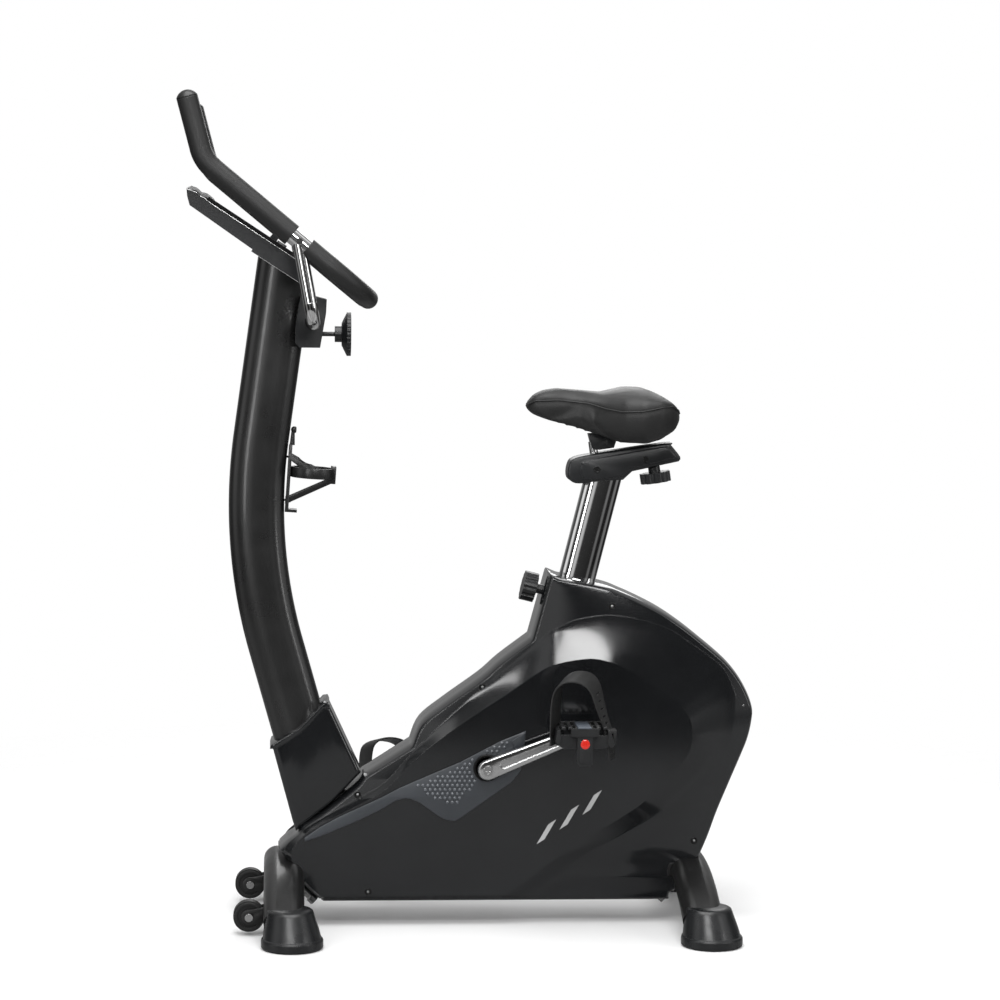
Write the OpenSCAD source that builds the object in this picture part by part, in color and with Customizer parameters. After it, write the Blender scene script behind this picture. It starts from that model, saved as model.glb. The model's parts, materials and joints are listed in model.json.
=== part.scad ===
// Upright exercise bike. Front (handlebar) towards -X, rider's left towards -Y, +Z up.

/* [Drive] */
// Height of the crank axle above the floor
crank_z = 280; // [270:1:290]
// Crank axle's distance behind the middle of the bike
crank_x = 29; // [24:1:34]
// Crank length, axle to pedal spindle
crank_len = 170; // [160:1:172]
// Rise of the left crank above level, at rest
crank_rise = 22; // [15:1:30]
// Radius of the drive pulley
pulley_r = 115; // [105:1:116]
// Radius of the flywheel
flywheel_r = 120; // [110:1:120]
// Width of the flywheel's rim
flywheel_w = 36; // [26:1:38]

/* [Frame and casing] */
// Half width of the casing over its raised panels
casing_half = 75; // [73:1:80]
// Height of the raised panel above the casing's side face
panel_rise = 12; // [10:1:12]
// Wall of the moulded casing
casing_wall = 3; // [2.5:0.5:4]
// Distance between the two stabilizers
wheelbase = 717; // [700:1:730]
// Half length of each stabilizer tube
stabilizer_half = 222; // [210:1:235]
// Radius of a foot cap
foot_r = 53; // [48:1:54]
// Diameter of a transport wheel
wheel_d = 54; // [50:1:56]

/* [Mast and handlebar] */
// Front to back size of the mast tube
mast_depth = 97; // [94:1:99]
// Side to side size of the mast tube
mast_width = 58; // [54:1:60]
// Diameter of the chrome handlebar tube
bar_d = 25; // [22:0.5:26]
// Diameter of the foam on the front grips
grip_d = 36; // [32:1:38]
// Distance from the middle to each side bar
bar_half = 200; // [190:1:205]

/* [Saddle] */
// Lean of the seat post, back from upright
post_lean = 13.8; // [12:0.1:15]
// Front to back size of the chrome seat post
post_depth = 66; // [62:1:67]
// Side to side size of the chrome seat post
post_width = 40; // [36:1:41]
// Rise of the saddle rail towards the back
rail_rise = 8.7; // [7:0.1:10]

/* [Hidden] */
fine = 96;
smooth = 48;

// Clearances: a running fit on a shaft, and the gap between neighbouring parts
fit = 0.05;
gap = 0.4;
// A bend is this much fatter than the straight tubes that run into it
lap = 0.4;

// Stabilizers: arched oval tubes, highest in the middle
front_x = -wheelbase / 2 + 34.5;
rear_x = wheelbase / 2 + 34.5;
tube_w = 70;
tube_h = 46;
arch_r = 476;
arch_z = 95;
foot_shift = 14;
arch_half = asin(stabilizer_half / arch_r);

// Transport wheel axle
wheel_x = -384;
wheel_y = 132;
wheel_z = 33;

// Flywheel place, and the plane that the belt runs in
fly_x = 322;
fly_z = 334;
belt_y = 48;
belt_w = 12;
small_pulley_r = 15;
axle_r = 10;
fly_axle_r = 6;
fly_bearing_r = 14;
idler_x = 199;
idler_z = 224.6;
idler_r = 14;
idler_pivot_x = 262;
idler_pivot_z = 140;
brake_x = 274;
brake_z = 205;

// Crank arms and pedals, distances from the middle
crank_y = 96;
crank_t = 13;
pedal_y = 112;
pedal_w = 96;
spindle_r = 7;

// Mast: a straight top leaning back, one bend, and a straight foot
bend_r = 900;
bend_x = 525;
bend_z = 735;
top_lean = 7.6;
foot_lean = 16;
mast_top = 320;
mast_foot = 300;
mast_wall = 3;

// Bottle cage: its frame, and the bore of its ring
cage_x = -323;
cage_z = 782;
cage_lean = 3.4;
cage_ring_r = 34;

// Console plane
console_x = -302;
console_z = 1166;
console_tilt = 32.4;
console_half = 125;

// Handlebar: the clamp axis, the loop's rear bar and its slope
clamp_x = -279;
clamp_z = 1055;
loop_x = -186;
loop_z = 1096.5;
loop_slope = 39.4;
leg_lean = 10.7;
loop_len = 360;
loop_corner = 90;
prong_bend = 65;
prong_turn = 35.8;
prong_len = 86;
bend_tangent = prong_bend * tan(prong_turn / 2);
leg_elbow = 35;
leg_d = 23;
grip_end = 168;
rear_grip_end = 135;
rear_grip_d = 34;
knob_z = 1033;

// Seat post axis passes here; heights along it count from this point
post_x = 214;
post_z = 700;
pin_s = -132;
pin_r = 6;
post_low = -330;
post_high = 98;
hole_pitch = 25;

// Saddle rail: its own frame starts where the post's top meets it
rail_x = 232;
rail_z = 790;
stub_u = -8;
knob_u = 94;
tilt_x = 244;
tilt_z = 848;

// Outline of the casing, seen from the left side
casing = [[-334, 131], [-318, 146], [-304, 156], [-291, 175], [-262, 195], [-227, 222], [-198, 247],
    [-187, 262], [-103, 316], [-86, 355], [-42, 391], [19, 435], [54, 466], [106, 505], [137, 622],
    [156, 614], [232, 600], [266, 588], [304, 571], [340, 552], [376, 528], [412, 500], [449, 469],
    [474, 440], [492, 409], [502, 380],
    [501, 356], [495, 328], [485, 301], [459, 238], [442, 196], [425, 148], [404, 99], [407, 84],
    [402, 73], [359, 50], [359, 37], [-258, 37], [-260, 43], [-303, 79], [-310, 93], [-326, 132]];

// ---- helpers ----

module along_y(r, y0, y1, fn = smooth)
    translate([0, y0, 0]) rotate([-90, 0, 0]) cylinder(r = r, h = y1 - y0, $fn = fn);

module along_x(r, x0, x1, fn = smooth)
    translate([x0, 0, 0]) rotate([0, 90, 0]) cylinder(r = r, h = x1 - x0, $fn = fn);

// Side outline given as [x, z] points, thick from y0 to y1
module side_plate(points, y0, y1)
    translate([0, y1, 0]) rotate([90, 0, 0]) linear_extrude(y1 - y0) polygon(points);

// Flat-sided oval: straight sides with round ends, long along x
module oval(long, short) {
    square([long - short, short], center = true);
    for (s = [-1, 1]) translate([s * (long - short) / 2, 0]) circle(d = short, $fn = smooth);
}

module left_and_right() {
    children();
    mirror([0, 1, 0]) children();
}

module in_post() translate([post_x, 0, post_z]) rotate([0, post_lean, 0]) children();
module in_rail() translate([rail_x, 0, rail_z]) rotate([0, -rail_rise, 0]) children();
module in_loop() translate([loop_x, 0, loop_z]) rotate([0, loop_slope, 0]) children();
module in_leg() translate([clamp_x, 0, clamp_z]) rotate([0, -leg_lean, 0]) children();
module in_console() translate([console_x, 0, console_z]) rotate([0, console_tilt, 0]) children();
module at_crank() translate([crank_x, 0, crank_z]) children();
module at_flywheel() translate([fly_x, 0, fly_z]) children();
// Straight foot of the mast: z runs up along it, from the bend's lower end
module in_mast_foot()
    translate([bend_x - bend_r * cos(foot_lean), 0, bend_z - bend_r * sin(foot_lean)])
        rotate([0, -foot_lean, 0]) children();
module in_mast_top()
    translate([bend_x - bend_r * cos(top_lean), 0, bend_z + bend_r * sin(top_lean)])
        rotate([0, top_lean, 0]) children();

module in_cage() translate([cage_x, 0, cage_z]) rotate([0, cage_lean, 0]) children();

// ---- frame ----

// Arched oval tube at x, swept half angles either side of the middle
module arch(x, w, h, half_angle)
    translate([x, 0, arch_z - arch_r]) rotate([90, 0, 90])
        rotate([0, 0, 90 - half_angle]) rotate_extrude(angle = 2 * half_angle, $fn = 180)
            translate([arch_r, 0]) rotate(90) oval(w, h);

module stabilizer(x) color("#1c1c1e") difference() {
    arch(x, tube_w, tube_h, arch_half);
    arch(x, tube_w - 5, tube_h - 5, arch_half + 1);
    for (y = [-45, 45]) bolt_line(x, y) translate([0, 0, 10]) cylinder(r = 4 + gap, h = 60, $fn = smooth);
}

// Line of a stabilizer bolt: down and towards the middle of the bike at 45 degrees
module bolt_line(x, y)
    translate([x, y, arch_z - 2]) rotate([0, x < 0 ? 135 : -135, 0]) children();

// Welded saddle that a stabilizer tube is bolted to
module tube_saddle(x) difference() {
    side = x < 0 ? -1 : 1;
    arch(x, tube_w + 12, tube_h + 12, asin(62 / arch_r));
    translate([x + side * 50 + side * 10, 0, arch_z]) cube([100, 200, 200], center = true);
    translate([x, 0, arch_z + 62]) cube([200, 200, 100], center = true);
    for (y = [-45, 45]) bolt_line(x, y) cylinder(r = 4 + gap, h = 80, $fn = smooth);
}

module main_frame() color("#2a2a2c") difference() {
    union() {
        // Main beam
        translate([(front_x + rear_x) / 2, 0, 67]) cube([wheelbase - 30, 50, 40], center = true);
        tube_saddle(front_x);
        tube_saddle(rear_x);
        // Stub that the mast slides over
        in_mast_foot() translate([0, 0, -425]) linear_extrude(245)
            oval(mast_depth - 2 * mast_wall - 1, mast_width - 2 * mast_wall - 1);
        // Crank bearing shell on its post
        translate([crank_x, 0, (crank_z + 87) / 2]) cube([36, 40, crank_z - 87], center = true);
        at_crank() along_y(25, -34, 34, fine);
        // Seat tube
        in_post() translate([0, 0, -645]) linear_extrude(541) oval(post_depth + 11, post_width + 11);
        // Threaded boss for the height knob
        in_post() translate([0, 0, pin_s]) along_x(14, -50, -30);
        // Flywheel plates
        for (y = [-30, 24]) translate([0, y, 0])
            side_plate([[250, 80], [350, 80], [350, 200], [342, fly_z + 18], [304, fly_z + 18],
                [296, 236], [250, 222]], 0, 6);
        // Cross plate that joins the flywheel plates to the beam
        translate([300, 0, 84]) cube([100, 60, 8], center = true);
        // Motor tab behind the seat tube
        translate([206, 0, 101]) cube([60, 34, 30], center = true);
    }
    at_crank() along_y(20, -40, 40, fine);
    // Hollow of the seat tube, from above the beam
    in_post() translate([0, 0, post_low - 140]) linear_extrude(500) oval(post_depth + 6, post_width + 6);
    in_post() translate([-60, 0, pin_s]) along_x(pin_r + fit, 0, 60);
    at_flywheel() along_y(fly_bearing_r, -60, 60);
    translate([brake_x, 0, brake_z]) along_y(5 + fit, -60, 60);
    translate([idler_pivot_x, 0, idler_pivot_z]) along_y(5 + fit, 10, 60);
    // Bolt holes into the mast stub
    in_mast_foot() for (s = [-260, -210]) translate([-80, 0, s]) along_x(4 + gap, 0, 160);
    // The front saddle stays clear of the tube
    arch(front_x, tube_w + 2 * gap, tube_h + 2 * gap, 20);
    arch(rear_x, tube_w + 2 * gap, tube_h + 2 * gap, 20);
}

module front_stabilizer() stabilizer(front_x);
module rear_stabilizer() stabilizer(rear_x);

// Bell-shaped cap: a round base that narrows up to the tube's end
module foot_cap(x, side) difference() {
    hull() {
        translate([x, side * (stabilizer_half + 12), 0]) cylinder(r = foot_r - 3, h = 4, $fn = 32);
        translate([x, side * (stabilizer_half + 12), 3]) cylinder(r = foot_r, h = 17, $fn = 32);
        translate([x - foot_shift * 0.6, side * (stabilizer_half - 6), 50])
            cylinder(r = 40, h = 12, $fn = 32);
    }
    arch(x - foot_shift, tube_w + 2 * gap, tube_h + 2 * gap, arch_half + 1.2);
}

module foot_caps() color("#202022") for (x = [front_x, rear_x], side = [-1, 1])
    foot_cap(x + foot_shift, side);

module stabilizer_fasteners() color("silver") {
    for (x = [front_x, rear_x], y = [-45, 45]) bolt_line(x, y) {
        translate([0, 0, 24]) cylinder(r = 4, h = 50, $fn = smooth);
        translate([0, 0, 38.2]) cylinder(r = 9, h = 9.6, $fn = 6);
        translate([0, 0, 47]) cylinder(r = 6.5, h = 20, $fn = smooth);
        translate([0, 0, 66]) cylinder(r = 9, h = 11, $fn = 6);
    }
    // Axle bolts of the transport wheels, each with a head and a nut
    for (side = [-1, 1]) translate([wheel_x, side * wheel_y, wheel_z]) {
        along_y(4, -17, 17);
        along_y(7, -21, -16.2);
        along_y(7, 16.2, 21);
    }
}

module wheel_bracket(side) difference() {
    for (y = [-14.2, 14.2]) translate([0, side * wheel_y + y, 0]) {
        side_plate([[wheel_x + 2, wheel_z - 12], [wheel_x + 2, wheel_z + 13], [front_x - 20, wheel_z + 19],
            [front_x - 20, wheel_z + 2], [wheel_x + 20, wheel_z - 12]], -2, 2);
        translate([wheel_x, 0, wheel_z]) along_y(13, -2, 2);
    }
    arch(front_x, tube_w + 1.2, tube_h + 1.2, 30);
    translate([wheel_x, side * wheel_y, wheel_z]) along_y(4 + fit, -30, 30);
}

module wheel_brackets() color("#252527") for (side = [-1, 1]) wheel_bracket(side);

module wheel(side) color("#1a1a1a") translate([wheel_x, side * wheel_y, wheel_z]) difference() {
    union() {
        along_y(wheel_d / 2, -9, 9, fine);
        along_y(wheel_d / 2 - 3, -11.5, 11.5, fine);
    }
    along_y(4 + fit, -20, 20);
    for (s = [-1, 1]) translate([0, s * 10, 0]) difference() {
        along_y(20, -2, 2);
        along_y(9, -3, 3);
    }
}

module wheel_left() wheel(-1);
module wheel_right() wheel(1);

// ---- casing ----

// Raised panel: where its sloping sides meet the side face, and its own edge, point for point
panel_foot = [[125, 46], [180, 92], [230, 133], [285, 165], [336, 195], [371, 221], [406, 257], [441, 292],
    [458, 319], [466, 346], [469, 399], [461, 426], [447, 452], [420, 475], [384, 500], [348, 523],
    [295, 540], [242, 547], [189, 540], [155, 526], [128, 510], [54, 446], [0, 402], [-60, 345],
    [-100, 305], [-150, 250], [-200, 222], [-262, 186], [-296, 162], [-323, 132], [-303, 88], [-262, 46]];
panel_edge = [[64, 52], [100, 78], [160, 124], [230, 168], [300, 213], [335, 248], [370, 284], [387, 310],
    [390, 337], [389, 352], [386, 364], [377, 378], [368, 390], [350, 404], [332, 417], [297, 440],
    [270, 455], [243, 466], [208, 472], [155, 464], [120, 449], [60, 408], [0, 368], [-60, 325],
    [-100, 290], [-150, 240], [-198, 213], [-262, 179], [-291, 160], [-312, 128], [-294, 88], [-258, 52]];
function panel_line(t) = [for (i = [0 : len(panel_foot) - 1]) panel_foot[i] * (1 - t) + panel_edge[i] * t];

// Layer of the casing's left half, out to y = -reach
module layer(reach) translate([0, -0.1, 0]) rotate([90, 0, 0]) linear_extrude(reach - 0.1) children();
module hollow(reach) translate([0, 1, 0]) rotate([90, 0, 0])
    linear_extrude(reach + 1 - casing_wall) children();

// One half of the casing, made on the left side
module half_shell() difference() {
    union() {
        for (step = [0 : 2]) layer(side_half - 8 + 4 * step) offset(delta = -2.5 * step) polygon(casing);
        for (t = [0.5, 1]) layer(side_half + t * panel_rise) polygon(panel_line(t));
    }
    hollow(side_half - 8) offset(delta = -casing_wall) polygon(casing);
    hollow(side_half) offset(delta = -casing_wall - 5) polygon(casing);
    hollow(casing_half) offset(delta = -casing_wall) polygon(panel_edge);
    // Crank axle hole
    at_crank() along_y(23, -100, 0, fine);
    // Post, knob and mast openings
    in_post() translate([0, 0, -200]) linear_extrude(200) oval(post_depth + 12, post_width + 12);
    in_post() translate([-90, 0, pin_s]) along_x(11, 0, 50);
    in_mast_foot() translate([0, 0, -350]) linear_extrude(250) oval(mast_depth + 2, mast_width + 2);
    translate([0, 1, 0]) rotate([90, 0, 0]) linear_extrude(boot_half + gap + 1)
        offset(delta = gap) polygon(boot_outline);
    // Stabilizer saddles, tubes and the beam's ends
    arch(front_x, tube_w + 14, tube_h + 14, 20);
    arch(rear_x, tube_w + 14, tube_h + 14, 20);
    translate([front_x + 40, 0, 67]) cube([70, 54, 44], center = true);
    translate([rear_x - 30, 0, 67]) cube([60, 54, 44], center = true);
    for (x = [front_x, rear_x]) bolt_line(x, -45) cylinder(r = 11, h = 90, $fn = smooth);
    // Screw holes, each with a flat for the head
    for (p = screw_points) translate([p[0], 0, p[1]]) {
        along_y(2.2, -100, 0);
        along_y(5.5, -100, -p[2]);
    }
    translate([430, 0, 178]) rotate([0, 20, 0]) along_x(8, -20, 20);
}

// Screws: x, z, and how far out the head's seat is
side_half = casing_half - panel_rise;
screw_points = [[-196, 230, side_half - 2], [21, 420, side_half - 2], [247, 563, side_half - 2],
    [483, 387, side_half - 4], [399, 146, side_half - 2],
    [109, 59, side_half + 1.5], [-177, 61, casing_half - 2]];

module shell_left() color("#101012") half_shell();
module shell_right() color("#101012") mirror([0, 1, 0]) half_shell();

trim_outline = [[-289, 157], [-262, 176], [-227, 195], [-192, 211], [-157, 227], [-123, 245], [-70, 268],
    [-18, 290], [52, 327], [97, 345], [89, 276], [73, 255], [53, 241], [-14, 193], [-26, 186], [-40, 188],
    [-52, 193],
    [-87, 218], [-102, 225], [-114, 227], [-131, 222], [-157, 206], [-192, 189], [-227, 174], [-261, 160],
    [-288, 151]];

module side_trim() difference() {
    translate([0, -casing_half - gap, 0]) rotate([90, 0, 0]) linear_extrude(3) polygon(trim_outline);
    at_crank() along_y(23, -100, 0, fine);
}

module side_trim_left() color("#33383d") side_trim();
module side_trim_right() color("#33383d") mirror([0, 1, 0]) side_trim();

module shell_screws() color("#18181a") left_and_right() for (p = screw_points) translate([p[0], 0, p[1]]) {
    along_y(2, -p[2] - 0.4, -p[2] + 14);
    along_y(4, -p[2] - 2.6, -p[2] - 0.3);
}

boot_outline = [[-346, 315], [-300, 343], [-256, 389], [-246, 385], [-190, 266], [-240, 213],
    [-303, 162], [-309, 180]];
boot_half = 46;

module mast_boot() color("#0c0c0e") difference() {
    side_plate(boot_outline, -boot_half, boot_half);
    in_mast_foot() translate([0, 0, -340]) linear_extrude(400)
        oval(mast_depth + 2 * gap, mast_width + 2 * gap);
}

module power_inlet() color("black") translate([430, 0, 178]) rotate([0, 20, 0]) difference() {
    union() {
        along_x(7.5, -14, 7);
        along_x(10, 6.2, 9);
    }
    along_x(3, -4, 12);
}

// ---- drive ----

module crank_axle() color("#8a8a8c") at_crank() along_y(axle_r, -104, 104, fine);

// Ball bearings, drawn as plain rings: two for the crank, two for the flywheel
module bearings() color("#9a9a9c") {
    at_crank() for (y = [-33, 21]) translate([0, y, 0]) bearing(20, axle_r, 12);
    at_flywheel() for (y = [-30, 24]) translate([0, y, 0]) bearing(fly_bearing_r, fly_axle_r, 6);
}

module bearing(outer, bore, width) difference() {
    along_y(outer, 0, width, fine);
    along_y(bore + fit, -1, width + 1, fine);
}

module drive_pulley() color("#202020") at_crank() difference() {
    union() {
        along_y(pulley_r, belt_y - 7, belt_y + 7, fine);
        along_y(24, belt_y - 12, belt_y + 14, fine);
    }
    along_y(axle_r, 0, 100, fine);
    for (a = [0 : 60 : 300]) rotate([0, a, 0]) translate([66, 0, 0]) along_y(21, 0, 100);
}

// Crank arm on the left, pointing back along +x before it is turned
module crank_arm() difference() {
    union() {
        along_y(17.5, -crank_y - crank_t, -crank_y, fine);
        translate([crank_len, 0, 0]) along_y(12.5, -crank_y - crank_t, -crank_y, fine);
        side_plate([[6, -13], [6, 13], [crank_len - 4, 11], [crank_len - 4, -11]],
            -crank_y - crank_t + 1, -crank_y);
    }
    along_y(axle_r, -crank_y - crank_t + 5, 0, fine);
    along_y(6.1, -200, 0);
    translate([crank_len, 0, 0]) along_y(spindle_r, -200, 0);
}

module crank_left() color("silver") at_crank() rotate([0, -crank_rise, 0]) crank_arm();
module crank_right() color("silver") at_crank()
    rotate([0, 180 - crank_rise, 0]) mirror([0, 1, 0]) crank_arm();

module crank_bolts() color("#c8c8cc") at_crank() left_and_right() difference() {
    union() {
        along_y(6, -crank_y - crank_t - 1, -crank_y - crank_t + 4.8);
        along_y(9, -crank_y - crank_t - 4, -crank_y - crank_t - 0.1);
    }
    for (a = [0, 90]) rotate([0, a, 0]) translate([0, -crank_y - crank_t - 4, 0])
        cube([9, 4, 1.6], center = true);
}

// Where each pedal's spindle is
spin_x = crank_len * cos(crank_rise);
spin_z = crank_len * sin(crank_rise);

module at_pedal(side) translate([crank_x - side * spin_x, 0, crank_z - side * spin_z]) children();

module pedal_spindles() color("#a8a8ac") {
    at_pedal(-1) spindle();
    at_pedal(1) mirror([0, 1, 0]) spindle();
}

module spindle() {
    along_y(spindle_r, -pedal_y - pedal_w + 8, -crank_y);
    along_y(10, -pedal_y + 0.4 - 1, -crank_y - crank_t - 0.2);
}

// Pedal on the left, centred on its spindle
module pedal() difference() {
    union() {
        side_plate([[-50, 2], [-46, 25], [40, 25], [48, 18], [52, -6], [30, -14], [-34, -14]],
            -pedal_y - pedal_w, -pedal_y - 6);
        // Outer end block, weighted so that the pedal hangs level
        side_plate([[-13, -34], [-13, 27], [13, 27], [13, -34], [9, -38], [-9, -38]],
            -pedal_y - pedal_w - 8, -pedal_y - pedal_w + 0.1);
        side_plate([[-11, -34], [-11, 0], [11, 0], [11, -34]], -pedal_y - pedal_w + 0, -pedal_y - 12);
    }
    along_y(spindle_r + fit, -pedal_y - pedal_w + 7, 0);
    // Slots that the strap passes through
    for (x = [-43, 37]) translate([x, -pedal_y - pedal_w / 2 - 3, 10]) cube([5, 50, 80], center = true);
}

module pedal_left() color("#1d1d1f") at_pedal(-1) pedal();
module pedal_right() color("#1d1d1f") at_pedal(1) mirror([0, 1, 0]) pedal();

// Strap loop over the pedal: an arch of band, open for the foot
module strap() side_plate([[-44.5, -10], [-44.5, 84], [-36, 104], [-16, 112], [8, 110], [22, 96], [38.5, 40],
    [38.5, -24], [35.5, -24], [35.5, 38], [19, 94], [6, 107], [-16, 109], [-34, 101.5], [-41.5, 83],
    [-41.5, -10]], -pedal_y - pedal_w / 2 - 23, -pedal_y - pedal_w / 2 + 17);

module strap_left() color("#232325") at_pedal(-1) strap();
module strap_right() color("#232325") at_pedal(1) mirror([0, 1, 0]) strap();

module flywheel() color("#77787a") at_flywheel() difference() {
    union() {
        along_y(flywheel_r, -flywheel_w / 2, flywheel_w / 2, fine);
        along_y(16, -22.5, 22.5);
    }
    along_y(fly_axle_r, -80, 80);
    for (s = [-1, 1]) translate([0, s * (flywheel_w / 2), 0]) difference() {
        along_y(flywheel_r - 14, -11, 11, fine);
        along_y(26, -12, 12);
    }
}

// Flywheel axle, turned in one piece with the small pulley
module flywheel_axle() color("#9a9a9c") at_flywheel() {
    along_y(fly_axle_r, -34, 60);
    along_y(small_pulley_r, belt_y - 7, belt_y + 7);
    along_y(small_pulley_r + 3, belt_y + 7, belt_y + 9);
}

module belt_line(extra) hull() {
    translate([crank_x, crank_z]) circle(r = pulley_r + extra, $fn = 120);
    translate([fly_x, fly_z]) circle(r = small_pulley_r + extra, $fn = 60);
}

module drive_belt() color("#151515") translate([0, belt_y + belt_w / 2, 0]) rotate([90, 0, 0])
    linear_extrude(belt_w) difference() {
        belt_line(3.6);
        belt_line(0.6);
    }

// Arm that holds the idler up against the belt, and turns on its own pin
module idler_arm() color("#3a3a3c") {
    side_plate([[idler_pivot_x + 2, idler_pivot_z - 10], [idler_pivot_x + 8, idler_pivot_z + 8],
        [idler_x + 8, idler_z + 10], [idler_x - 10, idler_z - 8]], 31, 36);
    translate([idler_pivot_x, 0, idler_pivot_z]) {
        along_y(5, 20, 36);
        along_y(11, 31, 36);
    }
    translate([idler_x, 0, idler_z]) {
        along_y(5, 34, 57);
        along_y(9, 31, 36);
    }
}

module idler_pulley() color("#4a4a4c") translate([idler_x, 0, idler_z]) difference() {
    along_y(idler_r, belt_y - 8, belt_y + 7.5, fine);
    along_y(5 + fit, 0, 100);
}

// Curved arm that carries the magnets round the flywheel's rim, on its own pin
module brake_arm() color("#6e6e70") {
    at_flywheel() translate([0, 16, 0]) rotate([90, 0, 0]) linear_extrude(32) difference() {
        circle(r = flywheel_r + 13, $fn = fine);
        circle(r = flywheel_r + 8, $fn = fine);
        polygon([[0, 0], [-200, 28], [-200, 200], [200, 200], [200, -200], [-75, -200]]);
    }
    translate([brake_x, 0, brake_z]) along_y(9, -22, 22);
    translate([brake_x, 0, brake_z]) along_y(5, -34, 34);
}

module brake_magnets() color("#b0b0b4") at_flywheel() for (a = [190, 206, 222]) rotate([0, -a, 0])
    translate([flywheel_r + 5.4, 0, 0]) cube([4, 26, 24], center = true);

module tension_motor() color("#26282a") {
    translate([206, 0, 137]) cube([44, 40, 41], center = true);
    translate([206, 0, 166]) cube([26, 24, 16.4], center = true);
}

// ---- mast ----

// Oval section swept along the mast, with some spare length at the foot
module mast_sweep(depth, width, extra) {
    translate([bend_x, 0, bend_z]) rotate([90, 0, 0]) rotate([0, 0, 180 - top_lean])
        rotate_extrude(angle = top_lean + foot_lean, $fn = 360)
            translate([bend_r, 0]) oval(depth + lap, width + lap);
    in_mast_top() translate([0, 0, -5]) linear_extrude(mast_top + 65) oval(depth, width);
    in_mast_foot() translate([0, 0, -mast_foot - extra]) linear_extrude(mast_foot + extra + 5)
        oval(depth, width);
}

// Space kept free round the mast by the parts fitted to it
module mast_space(margin) mast_sweep(mast_depth + 2 * margin, mast_width + 2 * margin, 0);

module mast() color("#1b1b1d") difference() {
    mast_sweep(mast_depth, mast_width, 0);
    mast_sweep(mast_depth - 2 * mast_wall, mast_width - 2 * mast_wall, 5);
    // Cut to the console's underside
    in_console() translate([-200, -200, -37.2]) cube([500, 400, 300]);
    in_mast_foot() for (s = [-260, -210]) translate([-80, 0, s]) along_x(4 + gap, 0, 160);
    for (s = [-40, 36]) in_cage() translate([-20, 0, s]) along_x(2.2, 0, 60);
}

module mast_fasteners() color("#3a3a3c") {
    // Two bolts through the mast's foot and its stub, under the boot
    in_mast_foot() for (s = [-260, -210]) {
        translate([0, 0, s]) along_x(4, -mast_depth / 2 + 0.4, mast_depth / 2 - 0.4);
    }
    // Two screws that hold the bottle cage
    for (s = [-40, 36]) in_cage() translate([0, 0, s]) {
        along_x(2, -5, 8);
        along_x(4, 7.3, 10);
    }
}

// Bottle cage: a back plate with a stem, a ring, and two arms on each side
module bottle_cage() color("#161618") in_cage() difference() {
    union() {
        translate([1, -15, -60]) cube([6, 30, 118]);
        translate([1, -15, -60]) cube([21, 30, 5]);
        translate([-1.6, 0, -40]) along_x(7, 2, 3);
        translate([6.5, 0, 57]) cylinder(r1 = 4.5, r2 = 3, h = 25, $fn = smooth);
        translate([8.6, 0, 84]) sphere(r = 6, $fn = smooth);
        translate([46, 0, 2]) cylinder(r = cage_ring_r + 5, h = 18, $fn = fine);
        translate([72, -14, -6]) cube([14, 28, 30]);
        for (side = [-1, 1]) {
            hull() {
                translate([3, side * 12, 38]) cube([4, 4, 9], center = true);
                translate([46, side * 36.5, 14]) cube([12, 4, 9], center = true);
            }
            hull() {
                translate([3, side * 12, -40]) cube([4, 4, 9], center = true);
                translate([76, side * 12, -2]) cube([4, 4, 8], center = true);
            }
        }
    }
    translate([46, 0, 2]) cylinder(r = cage_ring_r, h = 90, $fn = fine);
    for (s = [-40, 36]) translate([0, 0, s]) along_x(2.3, -3, 20);
}

// ---- handlebar ----

module bar_clamp() color("#232325") difference() {
    side_plate([[-292, 1018], [-270, 1018], [-263, 1042], [-263, 1080], [-292, 1084]], -30, 30);
    translate([clamp_x, 0, clamp_z]) along_y(leg_d / 2 + fit, -60, 60, fine);
    translate([0, 0, knob_z]) along_x(4 + fit, -288, -200);
    mast_space(gap);
}

module clamp_cover() color("#1a1a1c") difference() {
    side_plate([[-309, 1044], [-309, 1018], [-302, 1010], [-266, 1010], [-256, 1070], [-255, 1094],
        [-274, 1099], [-300, 1099], [-304, 1080]], -42, 42);
    side_plate([[-330, 1016], [-268, 1016], [-259, 1040], [-259, 1090], [-275, 1093], [-330, 1093]], -38, 38);
    translate([clamp_x, 0, clamp_z]) along_y(leg_d / 2 + 2, -60, 60, fine);
    translate([0, 0, knob_z]) along_x(6, -280, -200);
    mast_space(gap);
}

// Dished hand knob with a toothed rim, on its screw
module clamp_knob() color("#1a1a1c") translate([0, 0, knob_z]) {
    along_x(4, -285, -236);
    along_x(14, -240, -226);
    translate([-228, 0, 0]) difference() {
        union() {
            rotate([0, 90, 0]) cylinder(r1 = 20, r2 = 38, h = 9, $fn = fine);
            along_x(38, 9, 16, fine);
        }
        translate([6, 0, 0]) rotate([0, 90, 0]) cylinder(r1 = 10, r2 = 30, h = 12, $fn = fine);
        for (a = [0 : 12 : 348]) rotate([a, 0, 0]) translate([0, 0, 39]) along_x(2.2, -1, 20, 16);
    }
}

// Pieces of the handlebar loop, each drawn solid with diameter d
module tube_bend(d, r, turn) rotate_extrude(angle = turn, $fn = fine)
    translate([r, 0]) circle(d = d + lap, $fn = smooth);

module loop_corner(d, side) translate([-loop_corner, side * (bar_half - loop_corner), 0])
    rotate([0, 0, side > 0 ? 0 : -90]) tube_bend(d, loop_corner, 90);

module loop_rear(d) along_y(d / 2, -bar_half + loop_corner - 2, bar_half - loop_corner + 2);

module side_bar(d, from, to) translate([0, -bar_half, 0]) along_x(d / 2, -to, -from);

// Places children at the foot of the left prong's straight part, z along it
module at_prong() translate([-loop_len + bend_tangent, -bar_half, 0])
    translate([-prong_bend * sin(prong_turn), 0, prong_bend * (1 - cos(prong_turn))])
        rotate([0, prong_turn - 90, 0]) children();

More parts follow.
